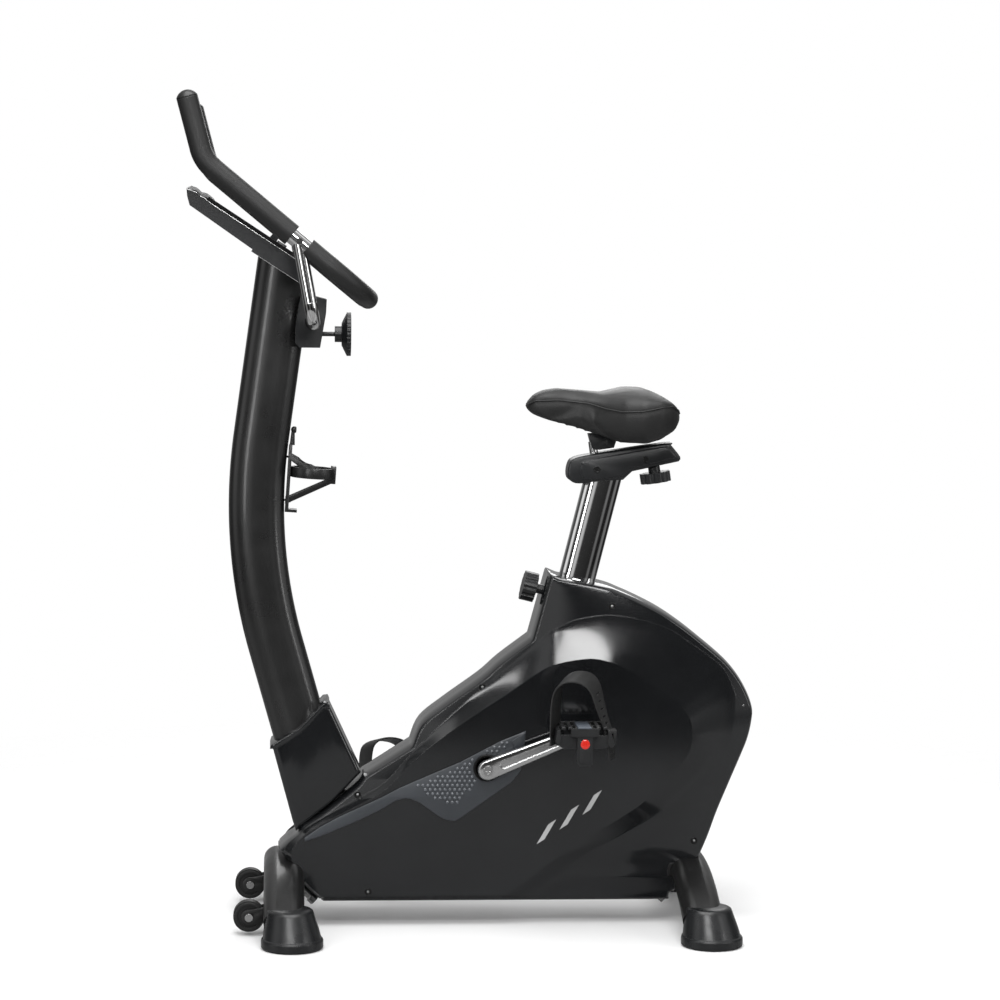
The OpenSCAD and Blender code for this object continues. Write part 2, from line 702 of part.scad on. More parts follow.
// Bend and upright prong on the left
module prong(d, length) {
    translate([-loop_len + bend_tangent, -bar_half, prong_bend]) rotate([90, 0, 0])
        rotate([0, 0, 270 - prong_turn]) tube_bend(d, prong_bend, prong_turn);
    at_prong() translate([0, 0, -2]) cylinder(d = d, h = length + 2, $fn = smooth);
}

// Whole loop from one prong's tip to the other
module loop(d, prong_length) {
    loop_rear(d);
    for (side = [-1, 1]) loop_corner(d, side);
    left_and_right() {
        side_bar(d, loop_corner - 2, loop_len - bend_tangent + 2);
        prong(d, prong_length);
    }
}

module handlebar() color("silver") {
    in_loop() loop(bar_d, prong_len - 12);
    in_leg() {
        along_y(leg_d / 2, -bar_half + leg_elbow - 2, bar_half - leg_elbow + 2);
        left_and_right() {
            translate([0, -bar_half + leg_elbow, leg_elbow]) rotate([90, 0, 90]) rotate([0, 0, 180])
                tube_bend(leg_d, leg_elbow, 90);
            translate([0, -bar_half, leg_elbow - 2]) cylinder(d = leg_d, h = 102, $fn = smooth);
        }
    }
}

module front_grip() in_loop() difference() {
    union() {
        side_bar(grip_d, grip_end, loop_len - bend_tangent + 2);
        prong(grip_d, prong_len);
    }
    side_bar(bar_d + 0.6, grip_end - 5, loop_len - bend_tangent + 2);
    prong(bar_d + 0.6, prong_len + 10);
}

module front_grip_left() color("#1e1e1e") front_grip();
module front_grip_right() color("#1e1e1e") mirror([0, 1, 0]) front_grip();

module rear_loop(d, end) {
    loop_rear(d);
    for (side = [-1, 1]) loop_corner(d, side);
    left_and_right() side_bar(d, loop_corner - 2, end);
}

module rear_grip() color("#1e1e1e") difference() {
    in_loop() rear_loop(rear_grip_d, rear_grip_end);
    in_loop() rear_loop(bar_d + 0.6, rear_grip_end + 5);
    // Notches for the legs
    in_leg() left_and_right() translate([0, -bar_half, leg_elbow])
        cylinder(d = leg_d + 2 * gap, h = 110, $fn = smooth);
}

// Cap plugs in the prongs' ends, and a screw in each side bar between the grips
module bar_fittings() color("#161616") in_loop() left_and_right() {
    at_prong() translate([0, 0, prong_len + 0.3]) intersection() {
        cylinder(d = grip_d, h = 20, $fn = smooth);
        translate([0, 0, -8]) sphere(d = grip_d + 5, $fn = smooth);
    }
    translate([-152, 0, 0]) along_y(5, -bar_half - bar_d / 2 - 3, -bar_half - bar_d / 2 - 0.1);
}

// ---- console ----

module console_back() color("#1c1c1e") in_console() difference() {
    side_plate([[-222, -9], [-216, -17], [-204, -28], [-75, -33], [-75, -37], [20, -37], [17, -8],
        [-214, -5]], -console_half, console_half);
    side_plate([[-214, -6], [-203, -25], [-75, -29], [-40, -33], [15, -33], [13, 10], [-210, 10]],
        -console_half + 3, console_half - 3);
}

module console_face() color("#141416") in_console() difference() {
    side_plate([[-222, -8.6], [-214, -4.6], [17, -7.6], [10, 0], [-206, 2], [-218, -1]],
        -console_half, console_half);
    // Window for the display
    translate([-176, -90, -1.5]) cube([104, 180, 12]);
    for (y = [-60, 0, 60]) translate([-38, y, -10]) cylinder(r = 9.4, h = 20, $fn = smooth);
}

module console_display() color("#9db4b8", 0.8) in_console()
    translate([-175.6, -89.6, -1.3]) cube([103.2, 179.2, 2]);

module button(y) color("#4a4c50") in_console() translate([-38, y, 0]) {
    translate([0, 0, -6.4]) cylinder(r = 9, h = 10.4, $fn = smooth);
    translate([0, 0, -11]) cylinder(r = 11, h = 2, $fn = smooth);
    translate([0, 0, -11]) cylinder(r = 9, h = 6, $fn = smooth);
}

module button_left() button(-60);
module button_middle() button(0);
module button_right() button(60);

// ---- saddle ----

module seat_post() color("silver") in_post() difference() {
    translate([0, 0, post_low]) linear_extrude(post_high - post_low) oval(post_depth, post_width);
    translate([0, 0, post_low - 1]) linear_extrude(post_high - post_low - 5)
        oval(post_depth - 5, post_width - 5);
    // Height holes down the front
    for (i = [-4 : 5]) translate([-60, 0, pin_s - i * hole_pitch]) along_x(pin_r + 0.5, 0, 50);
}

module post_sleeve() color("#e8e8e8") in_post() difference() {
    union() {
        translate([0, 0, -260]) linear_extrude(160) oval(post_depth + 5, post_width + 5);
        translate([0, 0, -103.6]) linear_extrude(5) oval(post_depth + 11, post_width + 11);
    }
    translate([0, 0, -270]) linear_extrude(200) oval(post_depth + 0.6, post_width + 0.6);
    translate([-80, 0, pin_s]) along_x(9.5, 0, 60);
}

// Pull knob with its pin: the tip lies just clear of the post in the seat tube's front
module height_knob() color("#161618") in_post() translate([0, 0, pin_s]) {
    along_x(pin_r, -70, -post_depth / 2 - 1);
    along_x(8.5, -76, -52);
    difference() {
        along_x(26, -91, -67, fine);
        for (a = [0 : 30 : 330]) rotate([a, 0, 0]) translate([0, 0, 28.4]) along_x(4.5, -100, -60, 24);
    }
}

// Bracket and rail on top of the post: a shell that holds the sliding carriage
module saddle_rail() color("#1c1c1e") difference() {
    side_plate([[183, 821], [172, 808], [171, 785], [178, 778], [192, 775], [270, 780], [284, 797],
        [368, 815], [369, 824], [350, 847], [342, 848], [226, 830]], -24, 24);
    in_post() translate([0, 0, -100]) linear_extrude(100 + post_high) oval(post_depth, post_width);
    // Channel for the carriage, slotted along the top
    in_rail() translate([-44, -14, 22]) cube([169, 28, 12]);
    in_rail() translate([stub_u - 14, -9, 30]) cube([49, 18, 30]);
    // Hole for the knob's screw
    in_rail() translate([knob_u, 0, 0]) cylinder(r = 4 + fit, h = 40, $fn = smooth);
}

// Bar that slides in the rail, with the chrome stub that carries the saddle
module saddle_carriage() color("silver") in_rail() {
    translate([-36, -13.5, 24]) cube([134, 27, 9]);
    translate([stub_u, 0, 32]) cylinder(r = 7.5, h = 28, $fn = smooth);
}

module rail_knob() color("#161618") in_rail() {
    translate([knob_u, 0, -2]) cylinder(r = 4, h = 25.5, $fn = smooth);
    translate([knob_u, 0, -12]) cylinder(r = 10.5, h = 12, $fn = smooth);
    translate([knob_u, 0, -28]) difference() {
        cylinder(r = 27, h = 18, $fn = fine);
        for (a = [0 : 36 : 324]) rotate(a) translate([30, 0, -1]) cylinder(r = 6, h = 30, $fn = 24);
    }
}

// Clamp on the stub: its cross bolt is what the saddle tilts on
module saddle_clamp() color("#1a1a1c") {
    difference() {
        side_plate([[207, 862], [214, 836], [226, 834], [252, 838], [256, 850], [240, 864]], -13.4, 13.4);
        in_rail() translate([stub_u, 0, 30]) cylinder(r = 7.5, h = 31, $fn = smooth);
    }
    translate([tilt_x, 0, tilt_z]) {
        along_y(5, -22, 22);
        along_y(8.5, -24, -18.4);
        along_y(8.5, 18.4, 24);
    }
}

saddle_side = [[95, 910], [121, 938], [192, 935], [227, 932], [250, 940], [272, 943], [300, 941], [325, 932],
    [343, 926], [356, 917], [365, 899], [365, 887], [353, 869], [326, 855], [300, 848], [255, 847],
    [204, 865], [151, 880], [108, 895]];
saddle_plan = [[94, 0], [96, 18], [108, 30], [160, 38], [205, 54], [235, 82], [262, 105], [295, 118],
    [330, 111], [354, 86], [366, 48], [368, 0]];

// A half outline, joined to its mirror image
function both_sides(half) = concat(half, [for (i = [len(half) - 2 : -1 : 1]) [half[i][0], -half[i][1]]]);

module saddle_base_plan(margin) offset(delta = margin)
    polygon(both_sides([[150, 0], [150, 16], [230, 44], [290, 60], [322, 46], [328, 0]]));

// Stiff base in the pad's underside, with two ears down to the clamp's bolt
module saddle_base() color("#101010") difference() {
    union() {
        translate([0, 0, 876]) linear_extrude(14) saddle_base_plan(0);
        left_and_right() side_plate([[222, 880], [264, 880], [256, 842], [234, 842]], -18, -14);
    }
    translate([tilt_x, 0, tilt_z]) along_y(5 + fit, -40, 40);
}

module saddle_pad() color("#232323") difference() {
    intersection() {
        side_plate(saddle_side, -130, 130);
        translate([0, 0, 800]) linear_extrude(200) polygon(both_sides(saddle_plan));
    }
    translate([0, 0, 800]) linear_extrude(90.4) saddle_base_plan(gap);
}

main_frame();
front_stabilizer();
rear_stabilizer();
foot_caps();
stabilizer_fasteners();
wheel_brackets();
wheel_left();
wheel_right();
shell_left();
shell_right();
side_trim_left();
side_trim_right();
shell_screws();
mast_boot();
power_inlet();
crank_axle();
bearings();
drive_pulley();
crank_left();
crank_right();
crank_bolts();
pedal_spindles();
pedal_left();
pedal_right();
strap_left();
strap_right();
flywheel();
flywheel_axle();
drive_belt();
idler_arm();
idler_pulley();
brake_arm();
brake_magnets();
tension_motor();
mast();
mast_fasteners();
bottle_cage();
bar_clamp();
clamp_cover();
clamp_knob();
handlebar();
front_grip_left();
front_grip_right();
rear_grip();
bar_fittings();
console_back();
console_face();
console_display();
button_left();
button_middle();
button_right();
seat_post();
post_sleeve();
height_knob();
saddle_rail();
saddle_carriage();
rail_knob();
saddle_clamp();
saddle_base();
saddle_pad();
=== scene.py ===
"""Looks for the upright exercise bike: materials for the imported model, finer pieces where its solids are plain,
a pale studio and the camera."""

import json
import math

import bmesh
import bpy
from mathutils import Matrix, Vector
from mathutils.geometry import tessellate_polygon


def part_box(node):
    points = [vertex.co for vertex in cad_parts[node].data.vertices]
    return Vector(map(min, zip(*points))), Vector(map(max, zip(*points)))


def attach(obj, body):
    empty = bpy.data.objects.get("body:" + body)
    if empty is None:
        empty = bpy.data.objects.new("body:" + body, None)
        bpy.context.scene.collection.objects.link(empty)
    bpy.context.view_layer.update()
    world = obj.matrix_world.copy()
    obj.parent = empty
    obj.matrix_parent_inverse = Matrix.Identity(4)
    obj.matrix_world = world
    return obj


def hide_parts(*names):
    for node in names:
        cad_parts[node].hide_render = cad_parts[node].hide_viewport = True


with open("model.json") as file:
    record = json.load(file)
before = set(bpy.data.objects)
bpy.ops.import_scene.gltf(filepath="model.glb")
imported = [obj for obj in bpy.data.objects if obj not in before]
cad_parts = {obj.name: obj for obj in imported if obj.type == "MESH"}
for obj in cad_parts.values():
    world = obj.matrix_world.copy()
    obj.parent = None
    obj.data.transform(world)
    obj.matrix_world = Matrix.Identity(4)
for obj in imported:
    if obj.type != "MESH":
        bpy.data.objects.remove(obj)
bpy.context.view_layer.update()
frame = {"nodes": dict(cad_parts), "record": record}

nodes = frame["nodes"]
MM = 0.001


# ---- materials ----


def new_tree(name):
    """An empty node material and its tree."""
    material = bpy.data.materials.new(name)
    material.use_nodes = True
    tree = material.node_tree
    tree.nodes.clear()
    return material, tree


def put(tree, kind, **inputs):
    """A new node with its inputs set."""
    node = tree.nodes.new(kind)
    for key, value in inputs.items():
        node.inputs[key.replace("_", " ")].default_value = value
    return node


def grain(tree, source, scale, detail=3.0, kind="noise"):
    """A noise or cell texture over the object's own coordinates."""
    if kind == "noise":
        node = put(tree, "ShaderNodeTexNoise", Scale=scale, Detail=detail)
        tree.links.new(source, node.inputs["Vector"])
        return node.outputs["Fac"]
    node = put(tree, "ShaderNodeTexVoronoi", Scale=scale)
    tree.links.new(source, node.inputs["Vector"])
    return node.outputs["Distance"]


def ramp(tree, source, low, high, start=0.3, end=0.7):
    """The source's values from start to end, spread from low to high."""
    node = put(tree, "ShaderNodeMapRange", From_Min=start, From_Max=end, To_Min=low, To_Max=high)
    tree.links.new(source, node.inputs["Value"])
    return node.outputs["Result"]


def tint(tree, amount, low, high):
    """A colour between low and high."""
    node = tree.nodes.new("ShaderNodeMix")
    node.data_type = "RGBA"
    tree.links.new(amount, node.inputs["Factor"])
    node.inputs["A"].default_value = (*low, 1)
    node.inputs["B"].default_value = (*high, 1)
    return node.outputs["Result"]


CLOUD_SCALE = 7.0
GLOSS_SCALE = CLOUD_SCALE * 3.1
COAT_ROUGHNESS = 0.08
RUBBED_FROM, RUBBED_TO = 0.72, 0.98  # the cosines, against the softened edge, where rubbing starts and ends


def finish(name, low, high, rough, metal=0.0, fine=350.0, bump=0.05, height=0.0004, cells=0.0, coat=0.0,
           edge=0.0015, wear=0.0, stretch=None):
    """A procedural finish: clouded colour, uneven gloss, a fine surface, soft and slightly rubbed edges."""
    material, tree = new_tree(name)
    link = tree.links.new
    coords = tree.nodes.new("ShaderNodeTexCoord").outputs["Object"]
    if stretch:
        mapping = tree.nodes.new("ShaderNodeMapping")
        mapping.inputs["Scale"].default_value = stretch
        link(coords, mapping.inputs["Vector"])
        fine_coords = mapping.outputs["Vector"]
    else:
        fine_coords = coords
    shader = tree.nodes.new("ShaderNodeBsdfPrincipled")
    output = tree.nodes.new("ShaderNodeOutputMaterial")
    link(shader.outputs["BSDF"], output.inputs["Surface"])
    shader.inputs["Metallic"].default_value = metal
    if coat:
        shader.inputs["Coat Weight"].default_value = coat
        shader.inputs["Coat Roughness"].default_value = COAT_ROUGHNESS
    clouds = grain(tree, coords, CLOUD_SCALE)
    colour = tint(tree, ramp(tree, clouds, 0, 1), low, high)
    bevel = put(tree, "ShaderNodeBevel", Radius=edge)
    bevel.samples = 4
    rough_value = ramp(tree, grain(tree, coords, GLOSS_SCALE), rough[0], rough[1])
    if wear:
        geometry = tree.nodes.new("ShaderNodeNewGeometry")
        dot = tree.nodes.new("ShaderNodeVectorMath")
        dot.operation = "DOT_PRODUCT"
        link(bevel.outputs["Normal"], dot.inputs[0])
        link(geometry.outputs["Normal"], dot.inputs[1])
        mask = ramp(tree, dot.outputs["Value"], wear, 0, RUBBED_FROM, RUBBED_TO)
        worn = tree.nodes.new("ShaderNodeMix")
        worn.data_type = "RGBA"
        link(mask, worn.inputs["Factor"])
        link(colour, worn.inputs["A"])
        worn.inputs["B"].default_value = (*[min(1, c * 3 + 0.05) for c in high], 1)
        colour = worn.outputs["Result"]
    link(colour, shader.inputs["Base Color"])
    link(rough_value, shader.inputs["Roughness"])
    surface = put(tree, "ShaderNodeBump", Strength=bump, Distance=height)
    source = grain(tree, fine_coords, cells, kind="cell") if cells else grain(tree, fine_coords, fine, 2)
    link(source, surface.inputs["Height"])
    link(bevel.outputs["Normal"], surface.inputs["Normal"])
    link(surface.outputs["Normal"], shader.inputs["Normal"])
    return material


def grey(value, blue=0.0):
    """A grey that leans a little towards blue."""
    return (value, value + blue * 0.4, value + blue)


LOOKS = {}


def add_look(slot, low, high, rough, title=None, **surface):
    """Makes the finish of a slot, under the slot's own name or under a title."""
    LOOKS[slot] = finish(title or slot, low, high, rough, **surface)


add_look("steel_frame", grey(0.0084), grey(0.0126), (0.28, 0.36), bump=0.12, fine=600, coat=0.2, wear=0.25,
         title="satin_paint")
add_look("stabilizer_black", grey(0.0056), grey(0.0084), (0.28, 0.38), bump=0.15, fine=500, coat=0.15,
         wear=0.2, title="stabilizer_paint")
add_look("foot_plastic", grey(0.0063, 0.001), grey(0.0091, 0.0015), (0.24, 0.34), bump=0.1, fine=700,
         wear=0.15)
add_look("bolt_chrome", grey(0.62), grey(0.75), (0.12, 0.22), metal=1.0, edge=0.0006)
add_look("wheel_plastic", grey(0.0084), grey(0.014), (0.42, 0.55), bump=0.2, fine=500, wear=0.2)
add_look("shell_gloss", grey(0.0056, 0.001), grey(0.0084, 0.0015), (0.1, 0.16), bump=0.02, fine=120,
         coat=0.6, edge=0.002)
add_look("trim_grey", grey(0.034, 0.009), grey(0.044, 0.011), (0.28, 0.38), bump=0.1, fine=600, edge=0.001)
add_look("screw_black", grey(0.014), grey(0.021), (0.25, 0.4), metal=0.8, bump=0.1, edge=0.0006, wear=0.3)
add_look("inlet_black", grey(0.007), grey(0.0112), (0.4, 0.5), bump=0.15, fine=500, wear=0.15)
add_look("bare_steel", grey(0.42), grey(0.52), (0.25, 0.35), metal=1.0, bump=0.08, stretch=(1, 30, 1),
         edge=0.0006)
add_look("pulley_plastic", grey(0.0098), grey(0.0154), (0.4, 0.5), bump=0.12, wear=0.1)
add_look("crank_chrome", grey(0.66), grey(0.78), (0.07, 0.14), metal=1.0, bump=0.03, fine=90, edge=0.0012)
add_look("pedal_plastic", grey(0.0098), grey(0.0154, 0.002), (0.32, 0.44), bump=0.14, fine=600, wear=0.3,
         edge=0.001)
add_look("strap_rubber", grey(0.0126), grey(0.0182), (0.35, 0.46), bump=0.15, fine=500, wear=0.25,
         edge=0.0006)
add_look("flywheel_iron", grey(0.2), grey(0.3), (0.3, 0.42), metal=1.0, bump=0.1, wear=0.1)
add_look("belt_rubber", grey(0.007), grey(0.0105), (0.6, 0.7), bump=0.15)
add_look("brake_metal", grey(0.35), grey(0.45), (0.35, 0.5), metal=1.0, bump=0.2)
add_look("mast_black", grey(0.0091), grey(0.0133), (0.26, 0.34), bump=0.1, fine=700, coat=0.25)
add_look("cage_plastic", grey(0.0084), grey(0.0126), (0.28, 0.38), bump=0.1, fine=600, wear=0.25)
add_look("knob_plastic", grey(0.0084, 0.001), grey(0.0126, 0.002), (0.28, 0.4), bump=0.12, fine=600, wear=0.3)
add_look("bar_chrome", grey(0.68), grey(0.8), (0.05, 0.1), metal=1.0, bump=0.02, fine=60, edge=0.0008)
add_look("foam", grey(0.0098), grey(0.014), (0.42, 0.52), bump=0.3, cells=900, edge=0.003)
add_look("console_plastic", grey(0.0084, 0.001), grey(0.0126, 0.002), (0.34, 0.42), bump=0.04, fine=800)
add_look("console_gloss", grey(0.007), grey(0.0098), (0.12, 0.2), bump=0.03, fine=120, coat=0.5)
add_look("display_glass", (0.34, 0.42, 0.4), (0.38, 0.46, 0.44), (0.04, 0.08), bump=0.01, coat=1.0,
         edge=0.0005)
add_look("button_rubber", grey(0.09), grey(0.12), (0.55, 0.65), bump=0.1, edge=0.001, wear=0.2)
add_look("sleeve_plastic", grey(0.68), grey(0.76), (0.4, 0.5))
add_look("saddle_vinyl", grey(0.0098), grey(0.014), (0.46, 0.56), bump=0.35, height=0.0005, cells=520,
         edge=0.002)
slot_of = {part["node"]: part["material_slot"] for part in frame["record"]["subparts"]}
for name, node in nodes.items():
    node.data.materials.clear()
    node.data.materials.append(LOOKS[slot_of[name]])


# ---- mesh helpers: lengths in millimetres, turned to metres when a piece is made ----


def between(a, b, c, d, t):
    """The point at t between b and c, on a smooth line through a, b, c and d."""
    return 0.5 * (2 * b + (c - a) * t + (2 * a - 5 * b + 4 * c - d) * t * t + (3 * b - a - 3 * c + d) * t ** 3)


def line_through(points, parts):
    """An open smooth line through the points, with the same number of parts between each two."""
    points = [Vector(p) for p in points]
    last = len(points) - 1
    result = []
    for i in range(last):
        a, b, c, d = (points[min(max(i + k, 0), last)] for k in (-1, 0, 1, 2))
        result += [between(a, b, c, d, step / parts) for step in range(parts)]
    return result + [points[-1]]


def value_at(table, x):
    """The value at x from (x, value) pairs."""
    if x <= table[0][0]:
        return table[0][1]
    for (x0, v0), (x1, v1) in zip(table, table[1:]):
        if x <= x1:
            t = (x - x0) / (x1 - x0)
            return v0 + (v1 - v0) * t
    return table[-1][1]


WELD = 0.00002  # points nearer than this, in metres, become one


def added(name, data):
    """A new object in the scene."""
    obj = bpy.data.objects.new(name, data)
    bpy.context.scene.collection.objects.link(obj)
    return obj


def mesh_object(name, verts, faces, look, sharp=30):
    mesh = bpy.data.meshes.new(name)
    mesh.from_pydata([Vector(v) * MM for v in verts], [], faces)
    bm = bmesh.new()
    bm.from_mesh(mesh)
    bmesh.ops.remove_doubles(bm, verts=bm.verts, dist=WELD)
    bmesh.ops.recalc_face_normals(bm, faces=bm.faces)
    bm.to_mesh(mesh)
    bm.free()
    mesh.materials.append(LOOKS[look] if isinstance(look, str) else look)
    obj = added(name, mesh)
    soften(obj, sharp)
    return obj


def soften(obj, sharp=30):
    """Smooth shading that stays crisp across edges sharper than the angle."""
    mesh = obj.data
    bm = bmesh.new()
    bm.from_mesh(mesh)
    limit = math.radians(sharp)
    for face in bm.faces:
        face.smooth = True
    for edge in bm.edges:
        edge.smooth = len(edge.link_faces) == 2 and edge.calc_face_angle(0) < limit
    bm.to_mesh(mesh)
    bm.free()


def placed(obj, body, slot_name, *hidden):
    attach(obj, body)
    if hidden:
        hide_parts(*hidden)
    return obj


def applied(obj):
    """Turns the object's modifiers into mesh."""
    bpy.context.view_layer.update()
    graph = bpy.context.evaluated_depsgraph_get()
    mesh = bpy.data.meshes.new_from_object(obj.evaluated_get(graph))
    obj.modifiers.clear()
    old = obj.data
    obj.data = mesh
    if old.users == 0:
        bpy.data.meshes.remove(old)
    return obj


def joined(name, parts, look, sharp=30):
    """One object from several, each of which is then gone. Without a sharp angle, edges stay as they are."""
    bm = bmesh.new()
    for part in parts:
        mesh = part.data
        mesh.transform(part.matrix_world)
        bm.from_mesh(mesh)
        bpy.data.objects.remove(part)
    mesh = bpy.data.meshes.new(name)
    bm.to_mesh(mesh)
    bm.free()
    mesh.materials.append(LOOKS[look] if isinstance(look, str) else look)
    for polygon in mesh.polygons:
        polygon.material_index = 0
    obj = added(name, mesh)
    if sharp:
        soften(obj, sharp)
    return obj


def inset(points, depth):
    """The closed line moved inwards by depth. Where two stretches meet, the points between gather there."""
    n = len(points)
    area = sum(points[i].x * points[(i + 1) % n].y - points[(i + 1) % n].x * points[i].y for i in range(n))
    turn = 1 if area > 0 else -1
    moved, good = [], []
    for i in range(n):
        ahead = (points[(i + 1) % n] - points[i - 1]).normalized()
        p = points[i] + Vector((-ahead.y, ahead.x)) * turn * depth
        nearest = min(to_segment(p, points[k], points[(k + 1) % n]) for k in range(n))
        moved.append(p)
        good.append(nearest > depth * 0.97 - 0.02)
    if not any(good):
        return moved
    start = good.index(True)
    i = 0
    while i < n:
        k = (start + i) % n
        if good[k]:
            i += 1
            continue
        run = 0
        while not good[(k + run) % n]:
            run += 1
        middle = (moved[k - 1] + moved[(k + run) % n]) / 2
        for m in range(run):
            moved[(k + m) % n] = middle
        i += run
    return moved


def to_segment(p, a, b):
    along = b - a
    length = along.length_squared
    t = 0 if length < 1e-12 else max(0, min(1, (p - a).dot(along) / length))
    return (p - a - along * t).length


def mirrored(obj):
    """Turns a piece of the left side into its copy on the right."""
    obj.data.transform(Matrix.Scale(-1, 4, (0, 1, 0)))
    obj.data.flip_normals()


def plate(name, outlines, y0, y1, edge, look, parts=4, sharp=30):
    """A plate in the side plane from y0 to y1 with rounded edges: outlines are its rim and then any holes."""
    line = [Vector(p) for p in outlines[0]]
    steps = [(edge * (1 - math.sin(a)), edge * (1 - math.cos(a)))
             for a in (math.pi / 2 * k / parts for k in range(parts + 1))]
    loops = [(y0 + away, depth) for depth, away in steps]
    loops += [(y1 - away, depth) for depth, away in reversed(steps)]
    made = {}
    rims = []
    for y, depth in loops:
        key = round(depth, 6)
        if key not in made:
            made[key] = inset(line, depth) if depth > 1e-6 else line
        rims.append([(p.x, y, p.y) for p in made[key]])
    obj = rings(name, rims, look, sharp)
    for hole in outlines[1:]:
        low = [(p[0], min(y0, y1) - 5, p[1]) for p in hole]
        high = [(p[0], max(y0, y1) + 5, p[1]) for p in hole]
        cut(obj, [rings("hole", [low, high], look)])
        soften(obj, sharp)
    return obj


def skin(rows, n):
    """The faces between rows of n points each, closed around."""
    return [(i * n + k, i * n + (k + 1) % n, (i + 1) * n + (k + 1) % n, (i + 1) * n + k)
            for i in range(rows - 1) for k in range(n)]


def rings(name, loops, look, sharp=35):
    """A closed skin over loops of equal length, each a list of points."""
    n = len(loops[0])
    faces = skin(len(loops), n) + [tuple(range(n)), tuple(range((len(loops) - 1) * n, len(loops) * n))]
    return mesh_object(name, [p for loop in loops for p in loop], faces, look, sharp)


def turn(count):
    """The angles of a full turn in equal steps."""
    return [math.tau * k / count for k in range(count)]


def blunt(value, power):
    """A sine or cosine raised to the power, its sign kept: an oval with fuller corners."""
    return math.copysign(abs(value) ** power, value)


def circle(centre, side, other, radius, count):
    return [centre + side * radius * math.cos(a) + other * radius * math.sin(a) for a in turn(count)]


def turned_piece(name, base, axis, profile, look, count=48):
    """A round piece: profile is (distance along the axis, radius) pairs from one end to the other."""
    axis = Vector(axis).normalized()
    side = axis.orthogonal().normalized()
    other = axis.cross(side)
    base = Vector(base)
    return rings(name, [circle(base + axis * along, side, other, max(radius, 0.01), count)
                        for along, radius in profile], look)


def tube(name, points, radius, look, count):
    """A round tube along the points, with flat ends."""
    points = [Vector(p) for p in points]
    loops = []
    side = None
    for before, p, after in zip(points[:1] + points, points, points[1:] + points[-1:]):
        ahead = (after - before).normalized()
        if side is None:
            side = ahead.orthogonal().normalized()
        side = (side - ahead * side.dot(ahead)).normalized()
        loops.append(circle(p, side, ahead.cross(side), radius, count))
    return rings(name, loops, look, 40)


def cut(obj, cutters):
    """Cuts the shapes away from obj."""
    for cutter in cutters:
        modifier = obj.modifiers.new("cut", "BOOLEAN")
        modifier.operation = "DIFFERENCE"
        modifier.solver = "EXACT"
        modifier.object = cutter
    applied(obj)
    for cutter in cutters:
        bpy.data.objects.remove(cutter)


def rounded(obj, width):
    """Rounds every edge sharper than 35 degrees."""
    modifier = obj.modifiers.new("round", "BEVEL")
    modifier.width = width * MM
    modifier.segments = 2
    modifier.limit_method = "ANGLE"
    modifier.angle_limit = math.radians(35)
    modifier.use_clamp_overlap = True
    applied(obj)
    soften(obj, 40)


def refined(node, width):
    """A copy of a CAD node with its flat faces made whole and its edges rounded, to stand for it."""
    mesh = nodes[node].data.copy()
    bm = bmesh.new()
    bm.from_mesh(mesh)
    bmesh.ops.remove_doubles(bm, verts=bm.verts, dist=WELD)
    bmesh.ops.dissolve_limit(bm, angle_limit=math.radians(0.5), verts=bm.verts, edges=bm.edges)
    bm.to_mesh(mesh)
    bm.free()
    obj = added(node + ".fine", mesh)
    rounded(obj, width)
    return placed(obj, body_of[node], slot_of[node], node)


body_of = {n: body for body, members in frame["record"]["behaviour"]["bodies"].items() for n in members}

# ---- casing: a rounded side with a raised panel, hollow inside ----

SIDE_NAMES = {-1: "left", 1: "right"}
SIDE_Y = 61
PANEL_Y = 77
WALL = 6
CRANK_AT = Vector((29, 0, 280))
CRANK_OPENING = [(CRANK_AT.x + 23 * math.cos(a), CRANK_AT.z + 23 * math.sin(a)) for a in turn(48)]
CASING = [(-334, 131), (-318, 146), (-304, 156), (-291, 175), (-262, 195), (-227, 222), (-198, 247),
          (-187, 262), (-103, 316), (-86, 355), (-42, 391), (19, 435), (54, 466), (106, 505), (137, 622),
          (156, 614), (232, 600), (266, 588), (304, 571), (340, 552), (376, 528), (412, 500), (449, 469),
          (474, 440), (492, 409), (502, 380), (501, 356), (495, 328), (485, 301), (459, 238), (442, 196),
          (425, 148), (404, 99), (407, 84), (402, 73), (359, 50), (359, 37), (-258, 37), (-260, 43),
          (-303, 79), (-310, 93)]
PANEL_FOOT = [(125, 46), (180, 92), (230, 133), (285, 165), (336, 195), (371, 221), (406, 257), (441, 292),
              (458, 319), (466, 346), (469, 399), (461, 426), (447, 452), (420, 475), (384, 500), (348, 523),
              (295, 540), (242, 547), (189, 540), (155, 526), (128, 510), (54, 446), (0, 402), (-60, 345),
              (-100, 305), (-150, 250), (-200, 222), (-262, 186), (-296, 162), (-323, 132), (-303, 88),
              (-262, 46)]
PANEL_EDGE = [(64, 52), (100, 78), (160, 124), (230, 168), (300, 213), (335, 248), (370, 284), (387, 310),
              (390, 337), (389, 352), (386, 364), (377, 378), (368, 390), (350, 404), (332, 417), (297, 440),
              (270, 455), (243, 466), (208, 472), (155, 464), (120, 449), (60, 408), (0, 368), (-60, 325),
              (-100, 290), (-150, 240), (-198, 213), (-262, 179), (-291, 160), (-312, 128), (-294, 88),
              (-258, 52)]
CORNERS = {(-187, 262), (-103, 316), (106, 505), (137, 622), (156, 614), (404, 99), (359, 50), (359, 37),
           (-258, 37), (-303, 79), (-334, 131), (125, 46), (-262, 46), (64, 52), (-258, 52)}


